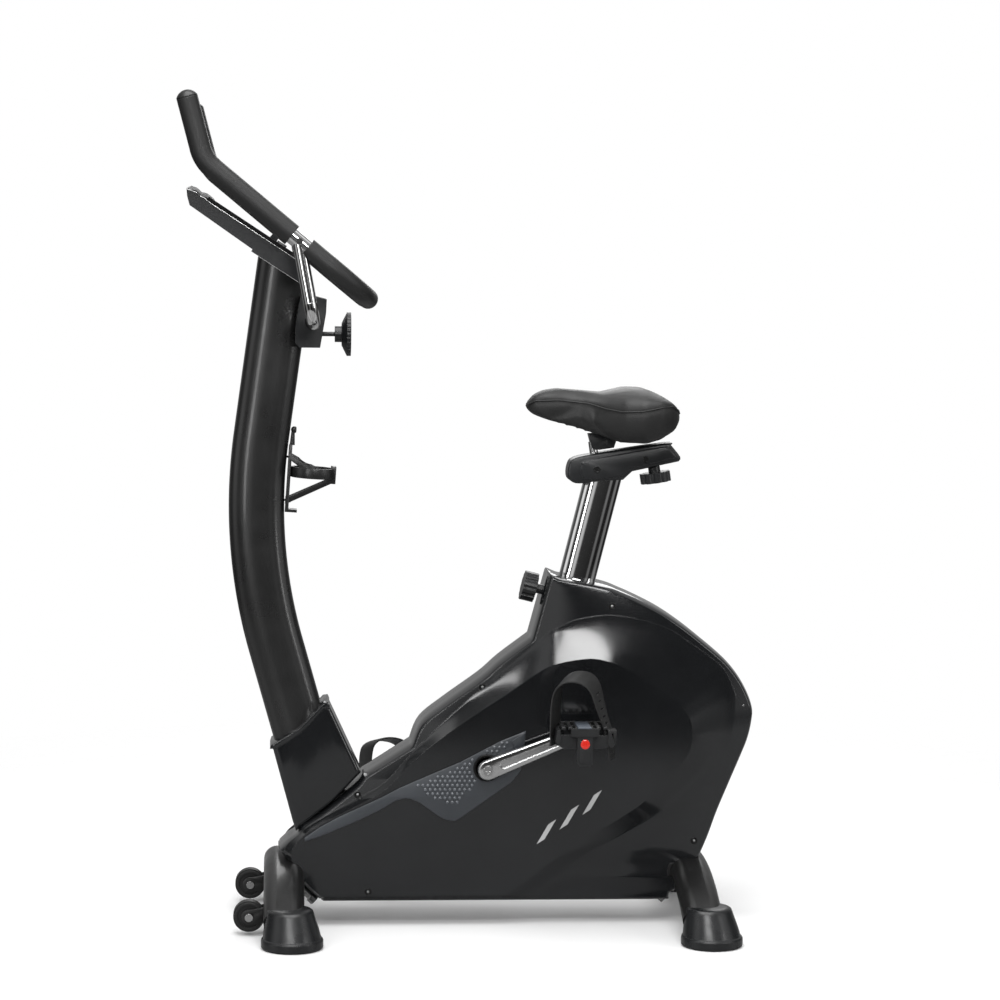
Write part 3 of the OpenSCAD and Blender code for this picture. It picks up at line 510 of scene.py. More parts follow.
def outline(points, parts=5):
    """The closed outline as a smooth line that keeps the corners."""
    flat = []
    n = len(points)
    for i in range(n):
        a, b, c, d = (Vector(points[(i + k) % n]) for k in (-1, 0, 1, 2))
        if tuple(points[i]) in CORNERS:
            a = b
        if tuple(points[(i + 1) % n]) in CORNERS:
            d = c
        flat += [between(a, b, c, d, step / parts) for step in range(parts)]
    even = []
    for a, b in zip(flat, flat[1:] + flat[:1]):
        pieces = max(1, round((b - a).length / 5))
        even += [a + (b - a) * k / pieces for k in range(pieces)] if pieces > 1 else [a]
    return even


def panel_lines():
    """The foot and the edge of the raised panel as smooth lines with matching points."""
    pairs = [Vector((f[0], f[1], e[0], e[1])) for f, e in zip(PANEL_FOOT, PANEL_EDGE)]
    both = []
    n = len(pairs)
    for i in range(n):
        a, b, c, d = (pairs[(i + k) % n] for k in (-1, 0, 1, 2))
        if PANEL_FOOT[i] in CORNERS:
            a = b
        if PANEL_FOOT[(i + 1) % n] in CORNERS:
            d = c
        both += [between(a, b, c, d, step / 8) for step in range(8)]
    return [Vector((p[0], p[1])) for p in both], [Vector((p[2], p[3])) for p in both]


def with_opening(name, loops, look, sharp):
    """A skin over loops whose two ends are flat faces open around the crank, joined by the opening's wall."""
    verts = [p for loop in loops for p in loop]
    n = len(loops[0])
    faces = skin(len(loops), n)
    rims = []
    for first, loop in ((0, loops[0]), ((len(loops) - 1) * n, loops[-1])):
        y = loop[0][1]
        rim = [(x, y, z) for x, z in CRANK_OPENING]
        start = len(verts)
        rims.append(start)
        verts += rim
        index = [first + k for k in range(n)] + [start + k for k in range(len(rim))]
        for triangle in tessellate_polygon([[Vector(p) for p in loop], [Vector(p) for p in rim]]):
            faces.append(tuple(index[k] for k in triangle))
    m = len(CRANK_OPENING)
    for k in range(m):
        faces.append((rims[0] + k, rims[0] + (k + 1) % m, rims[1] + (k + 1) % m, rims[1] + k))
    return mesh_object(name, verts, faces, look, sharp)


POST_LEAN = math.radians(13.8)
POST_UP = Vector((math.sin(POST_LEAN), 0, math.cos(POST_LEAN)))
POST_BACK = Vector((math.cos(POST_LEAN), 0, -math.sin(POST_LEAN)))
POST_AT = Vector((214, 0, 700))
FOOT_LEAN = math.radians(-16)
MAST_UP = Vector((math.sin(FOOT_LEAN), 0, math.cos(FOOT_LEAN)))
MAST_BACK = Vector((math.cos(FOOT_LEAN), 0, -math.sin(FOOT_LEAN)))
MAST_BEND_R = 900
MAST_BEND_AT = Vector((525, 0, 735))
MAST_AT = MAST_BEND_AT - MAST_BACK * MAST_BEND_R


def casing_half(side):
    """A hollow side with a rounded rim, and the raised panel on it, both open around the crank."""
    line = outline(CASING)
    rim, crown = 8, 36
    loops = []
    for k in range(9):
        a = math.pi / 2 * k / 8
        depth = rim * (1 - math.sin(a))
        loops.append((inset(line, depth) if depth > 0.001 else line, -SIDE_Y + crown * (1 - math.cos(a))))
    inner = inset(line, WALL)
    loops += [(line, -0.15), (inner, -0.15), (inner, -SIDE_Y + 3)]
    body = with_opening("side", [[(p.x, y, p.y) for p in loop] for loop, y in loops], "shell_gloss", 40)
    foot, edge = panel_lines()
    loops = [[(f.x, -SIDE_Y + 1.5, f.y) for f in foot]]
    for step in range(9):
        t = step / 8
        y = -(SIDE_Y - 0.2 + (PANEL_Y - SIDE_Y + 0.2) * t ** 1.15)
        loops.append([(f.x + (e.x - f.x) * t, y, f.y + (e.y - f.y) * t) for f, e in zip(foot, edge)])
    panel = with_opening("panel", loops, "shell_gloss", 7)
    whole = joined("casing_" + SIDE_NAMES[side], [body, panel], "shell_gloss", 0)
    if side > 0:
        mirrored(whole)
    placed(whole, "frame", "shell_gloss", "shell_" + SIDE_NAMES[side])


casing_half(-1)
casing_half(1)

# ---- casing trim: the grey strip with its dotted field ----

TRIM = [(-289, 157), (-262, 176), (-227, 195), (-192, 211), (-157, 227), (-123, 245), (-70, 268), (-18, 290),
        (52, 327), (97, 345), (89, 276), (73, 255), (53, 241), (-14, 193), (-26, 186), (-40, 188), (-52, 193),
        (-87, 218), (-102, 225), (-114, 227), (-131, 222), (-157, 206), (-192, 189), (-227, 174), (-261, 160),
        (-288, 151)]
DOTTED = [(-95, 250), (-53, 267), (52, 326), (69, 329), (17, 258), (-26, 214), (-70, 229)]
CORNERS |= set(TRIM)


def inside(point, polygon):
    x, y = point
    odd = False
    for (x0, y0), (x1, y1) in zip(polygon, polygon[1:] + polygon[:1]):
        if (y0 > y) != (y1 > y) and x < x0 + (y - y0) / (y1 - y0) * (x1 - x0):
            odd = not odd
    return odd


DOT_RADIUS, DOT_HEIGHT, DOT_PITCH, DOT_BASE = 2.9, 1.9, 8.6, 80.3
DOT_SIDES = 10


def dome(x, z):
    """Points and faces of a low round button on the casing's left side."""
    verts = []
    for r, h in ((DOT_RADIUS, 0.0), (DOT_RADIUS * 0.92, DOT_HEIGHT * 0.5), (DOT_RADIUS * 0.6, DOT_HEIGHT * 0.9)):
        verts += [(x + r * math.cos(a), -(DOT_BASE + h), z + r * math.sin(a)) for a in turn(DOT_SIDES)]
    verts.append((x, -(DOT_BASE + DOT_HEIGHT), z))
    last = 2 * DOT_SIDES
    return verts, skin(3, DOT_SIDES) + [(last + k, last + (k + 1) % DOT_SIDES, last + DOT_SIDES)
                                        for k in range(DOT_SIDES)]


# The dots are painted a lighter grey than the strip: a painted highlight for the light the little domes catch.
add_look("trim_dots_painted_highlight", grey(0.09, 0.016), grey(0.11, 0.02), (0.14, 0.22), bump=0.03, edge=0.0003, coat=0.4)


def trim(side):
    line = outline(TRIM, 4)
    layers = ((1.2, -80.4), (0.5, -80.1), (0, -79.2), (0, -76.8))
    base = with_opening("strip", [[(p.x, y, p.y) for p in (inset(line, depth) if depth else line)]
                                  for depth, y in layers], "trim_grey", 40)
    verts, faces = [], []
    for row in range(-2, 18):
        for column in range(-8, 30):
            x = -100 + column * DOT_PITCH + (row % 2) * DOT_PITCH / 2
            z = 205 + row * DOT_PITCH * 0.866
            if not inside((x, z), DOTTED) or math.hypot(x - CRANK_AT.x, z - CRANK_AT.z) < 27.5:
                continue
            v, f = dome(x, z)
            faces += [tuple(i + len(verts) for i in face) for face in f]
            verts += v
    dots = mesh_object("trim_dots_painted_highlight_" + SIDE_NAMES[side], verts, faces, "trim_dots_painted_highlight", 60)
    fin = plate("fin", [[(72, 327), (95, 342), (88, 281)]], -81.6, -80.0, 0.6, "trim_grey", 2)
    whole = joined("casing_trim_" + SIDE_NAMES[side], [base, fin], "trim_grey", 40)
    if side > 0:
        mirrored(whole)
        mirrored(dots)
    placed(dots, "frame", "trim_grey")
    placed(whole, "frame", "trim_grey", "side_trim_" + SIDE_NAMES[side])


trim(-1)
trim(1)

# Three plain slanted stripes on each panel
add_look("stripe", grey(0.36), grey(0.42), (0.35, 0.45), edge=0.0002)
for side in (-1, 1):
    bars = []
    for i in range(3):
        x, z = 118 + 40 * i, 144 + 26 * i
        shape = [(x, z), (x + 14, z + 9), (x + 34, z + 44), (x + 20, z + 35)]
        bars.append(plate("bar", [shape], -77.3, -76.6, 0.2, "stripe", 1))
    stripes = joined("side_stripes_" + SIDE_NAMES[side], bars, "stripe")
    if side > 0:
        mirrored(stripes)
    placed(stripes, "frame", "shell_gloss")

# ---- saddle: a stuffed, sewn pad made with a cloth simulation ----

SADDLE_TOP = [(94, 908), (98, 917), (108, 928), (121, 936), (150, 938), (192, 935), (227, 932), (248, 937),
              (272, 942), (300, 941), (325, 933), (343, 925), (356, 915), (364, 902), (367, 893)]
SADDLE_LOW = [(94, 906), (98, 902), (108, 895), (151, 881), (204, 866), (255, 850), (300, 848), (326, 855),
              (353, 870), (364, 884), (367, 891)]
SADDLE_RIM = [(94, 907), (98, 911), (110, 919), (151, 921), (203, 916), (230, 908), (256, 904), (291, 906),
              (326, 913), (345, 914), (358, 906), (367, 892)]
SADDLE_HALF = [(94, 3), (96, 12), (100, 20), (108, 27), (125, 33), (160, 38), (190, 47), (212, 60), (235, 82),
               (262, 104), (295, 116), (325, 112), (345, 97), (357, 74), (364, 44), (367, 6)]
POCKET_HALF = [(142, 0), (156, 22), (230, 50), (290, 66), (318, 54), (330, 0)]
POCKET_Z = 892


def saddle_loop(x):
    top, low, rim, half = (value_at(t, x) for t in (SADDLE_TOP, SADDLE_LOW, SADDLE_RIM, SADDLE_HALF))
    pocket = min(value_at(POCKET_HALF, x), half * 0.8) if 142 < x < 330 else 0
    loop = []
    for k in range(13):  # the sitting surface, from the middle to the rim: a little dished behind
        a = math.pi / 2 * k / 12
        y = half * math.sin(a) ** 0.85
        dish = 5 * math.exp(-((x - 300) / 45) ** 2) * math.exp(-(y / 22) ** 2)
        z = rim + (top - rim) * math.cos(a) ** 0.75 - dish
        loop.append((y, z))
    for k in range(1, 10):  # the side, down and under
        a = math.pi / 2 * k / 9
        y = half * (1 - 0.34 * (1 - math.cos(a)) ** 1.1)
        z = rim - (rim - low) * math.sin(a) ** 0.95
        loop.append((y, z))
    under_y, under_z = loop[-1]
    for k in range(1, 8):
        t = k / 7
        if pocket > 2:
            y = under_y + (pocket - under_y) * min(1, t * 1.6) if t < 0.62 else pocket * (1 - (t - 0.62) / 0.38)
            z = under_z + (POCKET_Z - under_z) * max(0, min(1, (t - 0.12) * 2.3))
        else:
            y, z = under_y * (1 - t), under_z + 1.5 * math.sin(t * math.pi / 2)
        loop.append((max(0, y), z))
    right = [(x, y, z) for y, z in loop]
    left = [(x, -y, z) for y, z in loop[1:-1]]
    return right + left[::-1]


def saddle_shape():
    xs = [94, 95.5, 98, 102, 108, 116, 126, 138]
    xs += [142 + 8 * i for i in range(24)]
    xs += [332, 339, 346, 352, 357, 361, 364, 366, 367]
    return rings("saddle_cover", [saddle_loop(x) for x in xs], "saddle_vinyl", sharp=60)


VOXEL = 0.0045
AIR_PRESSURE = 4.0
MOST_SWELL = 0.004
CLOTH_FRAMES = 20


def inflated(obj):
    """Voxel remesh, then a short cloth simulation with air inside, its movement capped."""
    remesh = obj.modifiers.new("remesh", "REMESH")
    remesh.mode = "VOXEL"
    remesh.voxel_size = VOXEL
    applied(obj)
    before = [v.co.copy() for v in obj.data.vertices]
    group = obj.vertex_groups.new(name="held")
    held = [v.index for v in obj.data.vertices
            if 0.84 < v.co.z < 0.898 and abs(v.co.y) < value_at(POCKET_HALF, v.co.x * 1000) * MM + 0.010]
    group.add(held, 1.0, "REPLACE")
    cloth = obj.modifiers.new("cloth", "CLOTH")
    cloth.settings.quality = 4
    cloth.settings.mass = 0.3
    cloth.settings.tension_stiffness = 18
    cloth.settings.compression_stiffness = 18
    cloth.settings.bending_stiffness = 2.0
    cloth.settings.use_pressure = True
    cloth.settings.uniform_pressure_force = AIR_PRESSURE
    cloth.settings.vertex_group_mass = "held"
    cloth.settings.effector_weights.gravity = 0
    cloth.point_cache.frame_start = 1
    cloth.point_cache.frame_end = CLOTH_FRAMES
    for step in range(1, CLOTH_FRAMES + 1):
        bpy.context.scene.frame_set(step)
    applied(obj)
    bpy.context.scene.frame_set(1)
    for v, old in zip(obj.data.vertices, before):
        move = v.co - old
        if move.length > MOST_SWELL:
            v.co = old + move * (MOST_SWELL / move.length)


saddle = saddle_shape()
inflated(saddle)
# The sewn line round the rim: a fold pressed in under it
for v in saddle.data.vertices:
    x, y, z = v.co / MM
    line = value_at(SADDLE_RIM, x) - 1
    near = (z - line) / 3.2
    if abs(near) < 3 and abs(y) > value_at(SADDLE_HALF, x) * 0.55:
        fold = math.exp(-near * near)
        outward = Vector((0, math.copysign(1, y), 0)) if abs(y) > 4 else Vector((0, 0, 0))
        v.co -= outward * 1.6 * MM * fold
finer = saddle.modifiers.new("finer", "SUBSURF")
finer.levels = 1
finer.render_levels = 1
applied(saddle)
saddle.data.materials.clear()
saddle.data.materials.append(LOOKS["saddle_vinyl"])
soften(saddle, 70)
placed(saddle, "saddle", "saddle_vinyl", "saddle_pad", "saddle_base")

# Welt along the rim
for side in (-1, 1):
    path = []
    for i in range(60):
        x = 99 + (362 - 99) * i / 59
        path.append((x, side * (value_at(SADDLE_HALF, x) - 0.4), value_at(SADDLE_RIM, x) + 1.2))
    welt = tube("saddle_welt_" + SIDE_NAMES[side], path, 1.3, "saddle_vinyl", 10)
    placed(welt, "saddle", "saddle_vinyl")

# ---- pedals ----

CRANK_LENGTH = 170
CRANK_RISE = math.radians(22)
PEDAL_REACH = Vector((math.cos(CRANK_RISE), 0, math.sin(CRANK_RISE))) * CRANK_LENGTH
STRAP_MIDDLE = -163
STRAP_HALF = 20
TAIL_HALF = STRAP_HALF - 7
FAR_STRAP_HEIGHT = 0.65  # the far strap has fallen over, and stands this much lower
add_look("red_reflector", (0.5, 0.012, 0.006), (0.62, 0.02, 0.01), (0.18, 0.28), cells=500, bump=0.3,
         coat=0.6)
add_look("pedal_tread", grey(0.07, 0.03), grey(0.09, 0.035), (0.3, 0.4), bump=0.2, cells=260, wear=0.2)


def skewed(p):
    """The strap sits askew: its outer edge lies further forward, and lower where it crosses the foot."""
    across = p.y - STRAP_MIDDLE
    return p + Vector((0.5 * across, 0, 0.32 * across * max(0, min(1, (p.z - 20) / 60))))


def pedal_part(shape, y0, y1, edge, parts=2, holes=()):
    return plate("part", [shape, *holes], y0, y1, edge, "pedal_plastic", parts)


def strap_frame(here, back, front):
    """A place on the strap's line, the direction along it, and the direction out of the band."""
    ahead = Vector((front.x - back.x, 0, front.y - back.y)).normalized()
    return Vector((here.x, STRAP_MIDDLE, here.y)), ahead, Vector((-ahead.z, 0, ahead.x))


def strap(side):
    """A wide band from the near rail over the foot to the far rail, with a row of slots and a loose tail."""
    path = line_through([(-47, -8), (-47, 30), (-46, 66), (-41, 92), (-27, 106), (-8, 109), (10, 103), (22, 88),
                         (30, 62), (38, 36), (46, 14), (50, -14), (52, -34)], 6)
    if side > 0:
        path = [Vector((p.x, p.y if p.y < 10 else 10 + (p.y - 10) * FAR_STRAP_HEIGHT)) for p in path]
    loops = []
    n = len(path)
    for i, p in enumerate(path):
        t = i / (n - 1)
        half = STRAP_HALF - (STRAP_HALF - TAIL_HALF) * max(0, min(1, (t - 0.5) * 3))
        at, _, out = strap_frame(p, path[max(0, i - 1)], path[min(n - 1, i + 1)])
        loops.append([skewed(at + Vector((0, y, 0)) + out * o) for y, o in (
            (-half, -1.2), (-half, 1.2), (-half + 3, 1.9), (half - 3, 1.9), (half, 1.2), (half, -1.2))])
    band = rings("pedal_" + SIDE_NAMES[side] + "_strap", loops, "strap_rubber", 40)
    slots = []
    for i in range(44, 71, 3):
        at, ahead, out = strap_frame(path[i], path[i], path[i + 1])
        corners = [skewed(at + Vector((0, y, 0)) + ahead * a + out * o)
                   for y in (-6, 6) for a in (-1.8, 1.8) for o in (-4, 4)]
        slots.append(mesh_object("slot", corners, [(0, 1, 3, 2), (4, 6, 7, 5), (0, 4, 5, 1), (2, 3, 7, 6),
                                                   (0, 2, 6, 4), (1, 5, 7, 3)], "strap_rubber"))
    cut(band, slots)
    soften(band, 40)
    return band


def pedal(side):
    name = "pedal_" + SIDE_NAMES[side]
    # Tread bars, then the body: two cross cheeks, a smaller outer one, two rails and the sleeve on the spindle
    parts = [pedal_part([(x - 4, 23), (x + 4, 23), (x + 3, 27.4), (x - 3, 27.4)], -200, -130, 0.7)
             for x in range(-36, 37, 12)]
    cheek = [(-50, 2), (-46, 22), (-40, 25), (36, 25), (46, 19), (52, -4), (46, -11), (30, -14), (-34, -14),
             (-46, -8)]
    parts += [pedal_part(cheek, y0, y0 + 8, 1.6) for y0 in (-126, -168)]
    parts.append(pedal_part([(-46, 0), (-44, 15), (42, 13), (48, -4), (30, -10), (-34, -10)], -204, -197, 1.6))
    for rail in ([(-50, 3), (-47, 22), (-42, 24), (-41, 12), (-42, -4)],
                 [(40, 22), (46, 18), (52, -3), (47, -8), (40, -2)]):
        parts.append(pedal_part(rail, -206, -120, 1))
    parts.append(turned_piece("sleeve", (0, -118, 0), (0, -1, 0),
                              ((0, 12), (2, 13.5), (40, 12), (84, 12.5), (90, 11)), "pedal_plastic", 32))
    # Outer end block: a capital T seen from the side
    block = [(-24, 27), (24, 27), (24, 14), (13, 12), (13, -34), (9, -38), (-9, -38), (-13, -34), (-13, 12),
             (-24, 14)]
    parts.append(pedal_part(block, -216, -204, 2.2, 3))
    parts.append(pedal_part([(-9, 6), (9, 6), (9, -28), (6, -32), (-6, -32), (-9, -28)], -215.5, -214, 0.6))
    # Buckle for the strap's tail
    parts.append(pedal_part([(36, -4), (56, -4), (57, 20), (34, 22)], -188, -162, 0.8,
                            holes=[[(41, 2), (51, 2), (51, 14), (41, 15)]]))
    whole = joined(name + "_body", parts, "pedal_plastic", 35)
    cap = plate(name + "_cap", [[(-13, 26.6), (11, 26.6), (10, 29.6), (-12, 29.6)]], -215, -150, 0.9,
                "pedal_tread", 2, 35)
    dot = turned_piece(name + "_reflector", (0, -213.5, 0), (0, -1, 0),
                       ((0, 8.6), (1.6, 8.6), (2.2, 7.6), (2.45, 4), (2.5, 0)), "red_reflector", 32)
    band = strap(side)
    for obj in (whole, cap, dot, band):
        if side > 0:
            mirrored(obj)
        obj.data.transform(Matrix.Translation((CRANK_AT - PEDAL_REACH * side) * MM))
    rides = SIDE_NAMES[side] + "_pedal"
    placed(whole, rides, "pedal_plastic", name)
    placed(cap, rides, "pedal_plastic")
    placed(dot, rides, "pedal_plastic")
    placed(band, rides, "strap_rubber", "strap_" + SIDE_NAMES[side])


pedal(-1)
pedal(1)
# ---- seat post, cranks, feet, boot ----


def along_post(s, x, y):
    """A point s up the post's axis, x behind it and y to the right."""
    return POST_AT + POST_UP * s + POST_BACK * x + Vector((0, y, 0))


low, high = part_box("seat_post")
END_LEAN = 9  # how far the leaning end faces reach past the ends on the axis
post_low = (low[2] / MM - POST_AT.z) / math.cos(POST_LEAN) + END_LEAN
post_high = (high[2] / MM - POST_AT.z) / math.cos(POST_LEAN) - END_LEAN
loops = []
for s, less in ((post_low, 2), (post_low + 2, 0), (post_high - 2, 0), (post_high, 2)):
    loops.append([along_post(s, (32.6 - less) * blunt(math.cos(a), 0.86),
                             (19.6 - less) * blunt(math.sin(a), 0.94)) for a in turn(96)])
placed(rings("seat_post_tube", loops, "bar_chrome", sharp=25), body_of["seat_post"], "bar_chrome", "seat_post")


def crank_line(r0, r1, start, length):
    """Around two circles, the first at start and the second at start + length, in the arm's own plane."""
    lean = math.acos((r0 - r1) / length)
    count = 24
    line = [(start + r0 * math.cos(a), r0 * math.sin(a))
            for a in (lean + (math.tau - 2 * lean) * k / count for k in range(count + 1))]
    line += [(start + length + r1 * math.cos(a), r1 * math.sin(a))
             for a in (-lean + 2 * lean * k / count for k in range(count + 1))]
    return line


def crank_arm(side):
    """A tapered arm with rounded edges and a long shallow groove."""
    loops = [[(x, y, z) for x, z in crank_line(17.5 - d, 12.5 - d, 0, CRANK_LENGTH)]
             for d, y in ((1.5, 96.0), (0, 97.5), (0, 105.5), (0.8, 107.4), (2.2, 108.6), (4, 109.0))]
    for r0, y in ((7.5, 109.0), (6.9, 108.4), (6.2, 107.2)):
        loops.append([(x, y, z) for x, z in crank_line(r0, r0 - 1.5, 30, 118)])
    arm = rings("crank_arm_" + SIDE_NAMES[side], loops, "crank_chrome", 28)
    lean = -CRANK_RISE if side < 0 else math.pi - CRANK_RISE
    arm.data.transform(Matrix.Translation(CRANK_AT * MM) @ Matrix.Rotation(lean, 4, "Y")
                       @ Matrix.Scale(side, 4, (0, 1, 0)))
    if side < 0:
        arm.data.flip_normals()
    node = "crank_" + SIDE_NAMES[side]
    placed(arm, body_of[node], "crank_chrome", node)


crank_arm(-1)
crank_arm(1)
# A dark dust ring in the casing around each crank
COLLAR = ((70, 24.5), (79.5, 24.5), (82, 23.4), (82.6, 21.5), (82, 19.5), (79.5, 18.4), (70, 18.4))
for side in (-1, 1):
    ring = turned_piece("crank_collar_" + SIDE_NAMES[side], CRANK_AT, (0, side, 0), COLLAR, "screw_black")
    placed(ring, "frame", "shell_gloss")


FOOT_R = 53
FOOT_INWARD = -4


def foot_bell(x, side):
    """A foot cap: a ring round its base, then a bell that leans in towards the tube."""
    profile = ((0.3, 47), (0.3, 50.5), (3, 52.8), (14, 52.8), (16.5, 51.6), (17.5, 49.6), (24, 48.4), (33, 46.4),
               (42, 43.8), (50, 41.6), (56, 40.4), (60, 39), (62.2, 36), (63, 30))
    loops = []
    for z, radius in profile:
        lean = max(0, z - 15) / 47
        cx, cy = x + FOOT_INWARD * lean, side * (234 - 18 * lean)
        loops.append([(cx + radius * math.cos(a), cy + radius * math.sin(a), z) for a in turn(72)])
    return rings("foot", loops, "foot_plastic", 30)


low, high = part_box("foot_caps")
feet = joined("foot_covers", [foot_bell(x, side) for x in (low[0] / MM + FOOT_R, high[0] / MM - FOOT_R)
                              for side in (-1, 1)], "foot_plastic", 30)
placed(feet, "frame", "foot_plastic", "foot_caps")

BOOT = [(-346, 315), (-300, 343), (-256, 389), (-246, 385), (-190, 266), (-240, 213), (-303, 162), (-309, 180)]
CORNERS |= set(BOOT)
boot = plate("boot", [outline(BOOT, 2)], -46.5, 46.5, 7, "shell_gloss", 6, 18)
rim = plate("rim", [outline([(-347, 315.5), (-300, 344.5), (-256, 390.5), (-245, 386), (-249, 377), (-257, 378.5),
                             (-295, 338), (-340, 309)], 2)], -48.5, 48.5, 2.2, "shell_gloss", 4, 30)
placed(joined("mast_boot_cover", [boot, rim], "shell_gloss", 18), "frame", "shell_gloss", "mast_boot")

# ---- mast: an oval tube, straight, bent, and straight again up to the console ----

TOP_LEAN = math.radians(7.6)
TOP_UP = Vector((math.sin(TOP_LEAN), 0, math.cos(TOP_LEAN)))
CONSOLE_TILT = math.radians(32.4)
CONSOLE_AT = Vector((-302, 0, 1166))
CONSOLE_UNDER = -37.6
CONSOLE_REAR = Vector((math.cos(CONSOLE_TILT), 0, -math.sin(CONSOLE_TILT)))
CONSOLE_UP = Vector((math.sin(CONSOLE_TILT), 0, math.cos(CONSOLE_TILT)))


def mast_ring(centre, back):
    """The mast's oval section."""
    return [centre + back * 48.5 * blunt(math.cos(a), 0.85) + Vector((0, 29 * blunt(math.sin(a), 0.95), 0))
            for a in turn(72)]


loops = [mast_ring(MAST_AT + MAST_UP * s, MAST_BACK) for s in (-300, -150)]
for step in range(41):
    lean = FOOT_LEAN + (TOP_LEAN - FOOT_LEAN) * step / 40
    back = Vector((math.cos(lean), 0, -math.sin(lean)))
    loops.append(mast_ring(MAST_BEND_AT - back * MAST_BEND_R, back))
# Its end is cut to the console's underside
loops.append([p + TOP_UP * (CONSOLE_UNDER - CONSOLE_UP.dot(p - CONSOLE_AT)) / CONSOLE_UP.dot(TOP_UP)
              for p in loops[-1]])
placed(rings("mast_tube", loops, "mast_black", sharp=30), "frame", "mast_black", "mast")

# ---- cover of the saddle's rail ----

low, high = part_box("saddle_rail")
half = high[1] / MM
COVER = [(183, 820), (172, 808), (170, 788), (177, 778.5), (191, 775), (226, 779), (268, 782), (284, 797),
         (366, 815), (369, 823), (352, 844), (344, 847), (226, 829)]
PANEL = [(198, 785), (193, 799), (196, 808), (208, 817), (345, 842), (362, 822), (284, 804), (266, 789),
         (215, 782)]
CORNERS |= {(268, 782), (284, 797), (366, 815), (352, 844), (345, 842), (362, 822), (284, 804), (266, 789)}
parts = [plate("cover", [outline(COVER, 3)], -half, half, 4, "knob_plastic", 4)]
for side in (-1, 1):
    parts.append(plate("panel", [outline(PANEL, 3)], side * (half + 2), side * (half - 3), 1.8,
                       "knob_plastic", 3))
placed(joined("rail_cover", parts, "knob_plastic"), body_of["saddle_rail"], "knob_plastic", "saddle_rail")
STUD = ((half, 6), (half + 2.3, 6), (half + 2.7, 5.2), (half + 2.5, 4.2), (half + 2.1, 3.6), (half + 2.1, 0))
studs = [turned_piece("stud", (x, 0, z), (0, side, 0), STUD, "screw_black", 32)
         for side in (-1, 1) for x, z in ((221, 800), (307, 818))]
placed(joined("rail_cover_studs", studs, "screw_black"), body_of["saddle_rail"], "screw_black")

# ---- casing screws: a dark cup and a small bright head ----

# Each screw's x and z, and how far out its head is seated
SCREWS = ((-196, 230, 61), (21, 420, 61), (247, 563, 61), (483, 387, 60), (399, 146, 61), (109, 59, 63),
          (-177, 61, 77))
CUP = ((-3, 6), (0.4, 6), (0.8, 5.2), (0.7, 4.4), (0.3, 3.9), (0.3, 0))
HEAD = ((0, 2.2), (0.7, 2.1), (1.1, 1.4), (1.2, 0))
cups, heads = [], []
for side in (-1, 1):
    for x, z, y in SCREWS:
        for made, profile, look, count in ((cups, CUP, "screw_black", 32), (heads, HEAD, "bare_steel", 24)):
            made.append(turned_piece("screw", (x, 0, z), (0, side, 0), [(y + out, r) for out, r in profile],
                                     look, count))
placed(joined("casing_screw_cups", cups, "screw_black"), "frame", "screw_black", "shell_screws")
placed(joined("casing_screw_heads", heads, "bare_steel"), "frame", "screw_black")

# ---- console: its grey lip, bright line and book rest ----


def on_console(u, w, y=0.0):
    """A point u to the rear of the console's origin and w above its face."""
    return CONSOLE_AT + CONSOLE_REAR * u + CONSOLE_UP * w + Vector((0, y, 0))


def console_plate(name, shape, y0, y1, look):
    return plate(name, [[(p.x, p.z) for p in (on_console(u, w) for u, w in shape)]], y0, y1, 1, look, 2)


low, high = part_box("console_back")
half = high[1] / MM
add_look("lip_grey", grey(0.2), grey(0.26), (0.25, 0.35), bump=0.06, edge=0.001, coat=0.2)
lip = console_plate("console_lip", [(-224, -7), (-219, 1.5), (-209, 4), (-199, 2.2), (-191, 5), (-181, 4.6),
                                    (-178, 1.5), (-186, -1.5), (-196, -3.5), (-208, -1.5), (-217, -6)],
                    -half - 0.5, half + 0.5, "lip_grey")
placed(lip, "frame", "console_plastic")
rest = console_plate("console_book_rest", [(-62, 0), (-60, 13), (-56, 14.5), (-50, 14), (-49, 9), (-48, 0)],
                     -70, 70, "console_plastic")
placed(rest, "frame", "console_plastic")
for side in (-1, 1):
    line = line_through([on_console(u, w, side * (half + 0.3)) for u, w in (
        (-223, -8), (-213, -5.5), (-206, -4), (-196, -5.2), (-186, -4.4), (-176, -6), (-100, -6.4), (-40, -6.8),
        (14, -7.4))], 5)
    placed(tube("console_line_" + SIDE_NAMES[side], line, 0.75, "bar_chrome", 10), "frame", "console_plastic")

# ---- plain solids with their edges rounded ----

for node, width in (("bar_clamp", 2.0), ("saddle_clamp", 1.0), ("wheel_brackets", 1.2), ("bottle_cage", 1.0)):
    refined(node, width)


# ---- camera, light and floor ----

FOCAL = 104.4
SENSOR = 36
CAMERA_AT = Vector((-0.343, -5.080, 1.1608))
YAW, PITCH, ROLL = (math.radians(a) for a in (4.455, 4.681, 0.65))


def turned(yaw, pitch, roll):
    ahead = Vector((math.sin(yaw) * math.cos(pitch), math.cos(yaw) * math.cos(pitch), -math.sin(pitch)))
    level = Vector((math.cos(yaw), -math.sin(yaw), 0))
    upright = level.cross(ahead)
    right = level * math.cos(roll) + upright * math.sin(roll)
    up = upright * math.cos(roll) - level * math.sin(roll)
    return Matrix((right, up, -ahead)).transposed().to_4x4()


camera = added("camera", bpy.data.cameras.new("camera"))
camera.matrix_world = Matrix.Translation(CAMERA_AT) @ turned(YAW, PITCH, ROLL)
camera.data.lens = FOCAL
camera.data.sensor_width = SENSOR
camera.data.clip_end = 60
bpy.context.scene.camera = camera


def softbox(name, at, aim, size, watts, tall=None):
    data = bpy.data.lights.new(name, "AREA")
    data.energy = watts
    data.shape = "RECTANGLE"
    data.size = size
    data.size_y = tall or size
    lamp = added(name, data)
    lamp.location = at
    lamp.visible_camera = False
    lamp.rotation_euler = (Vector(aim) - Vector(at)).to_track_quat("-Z", "Y").to_euler()


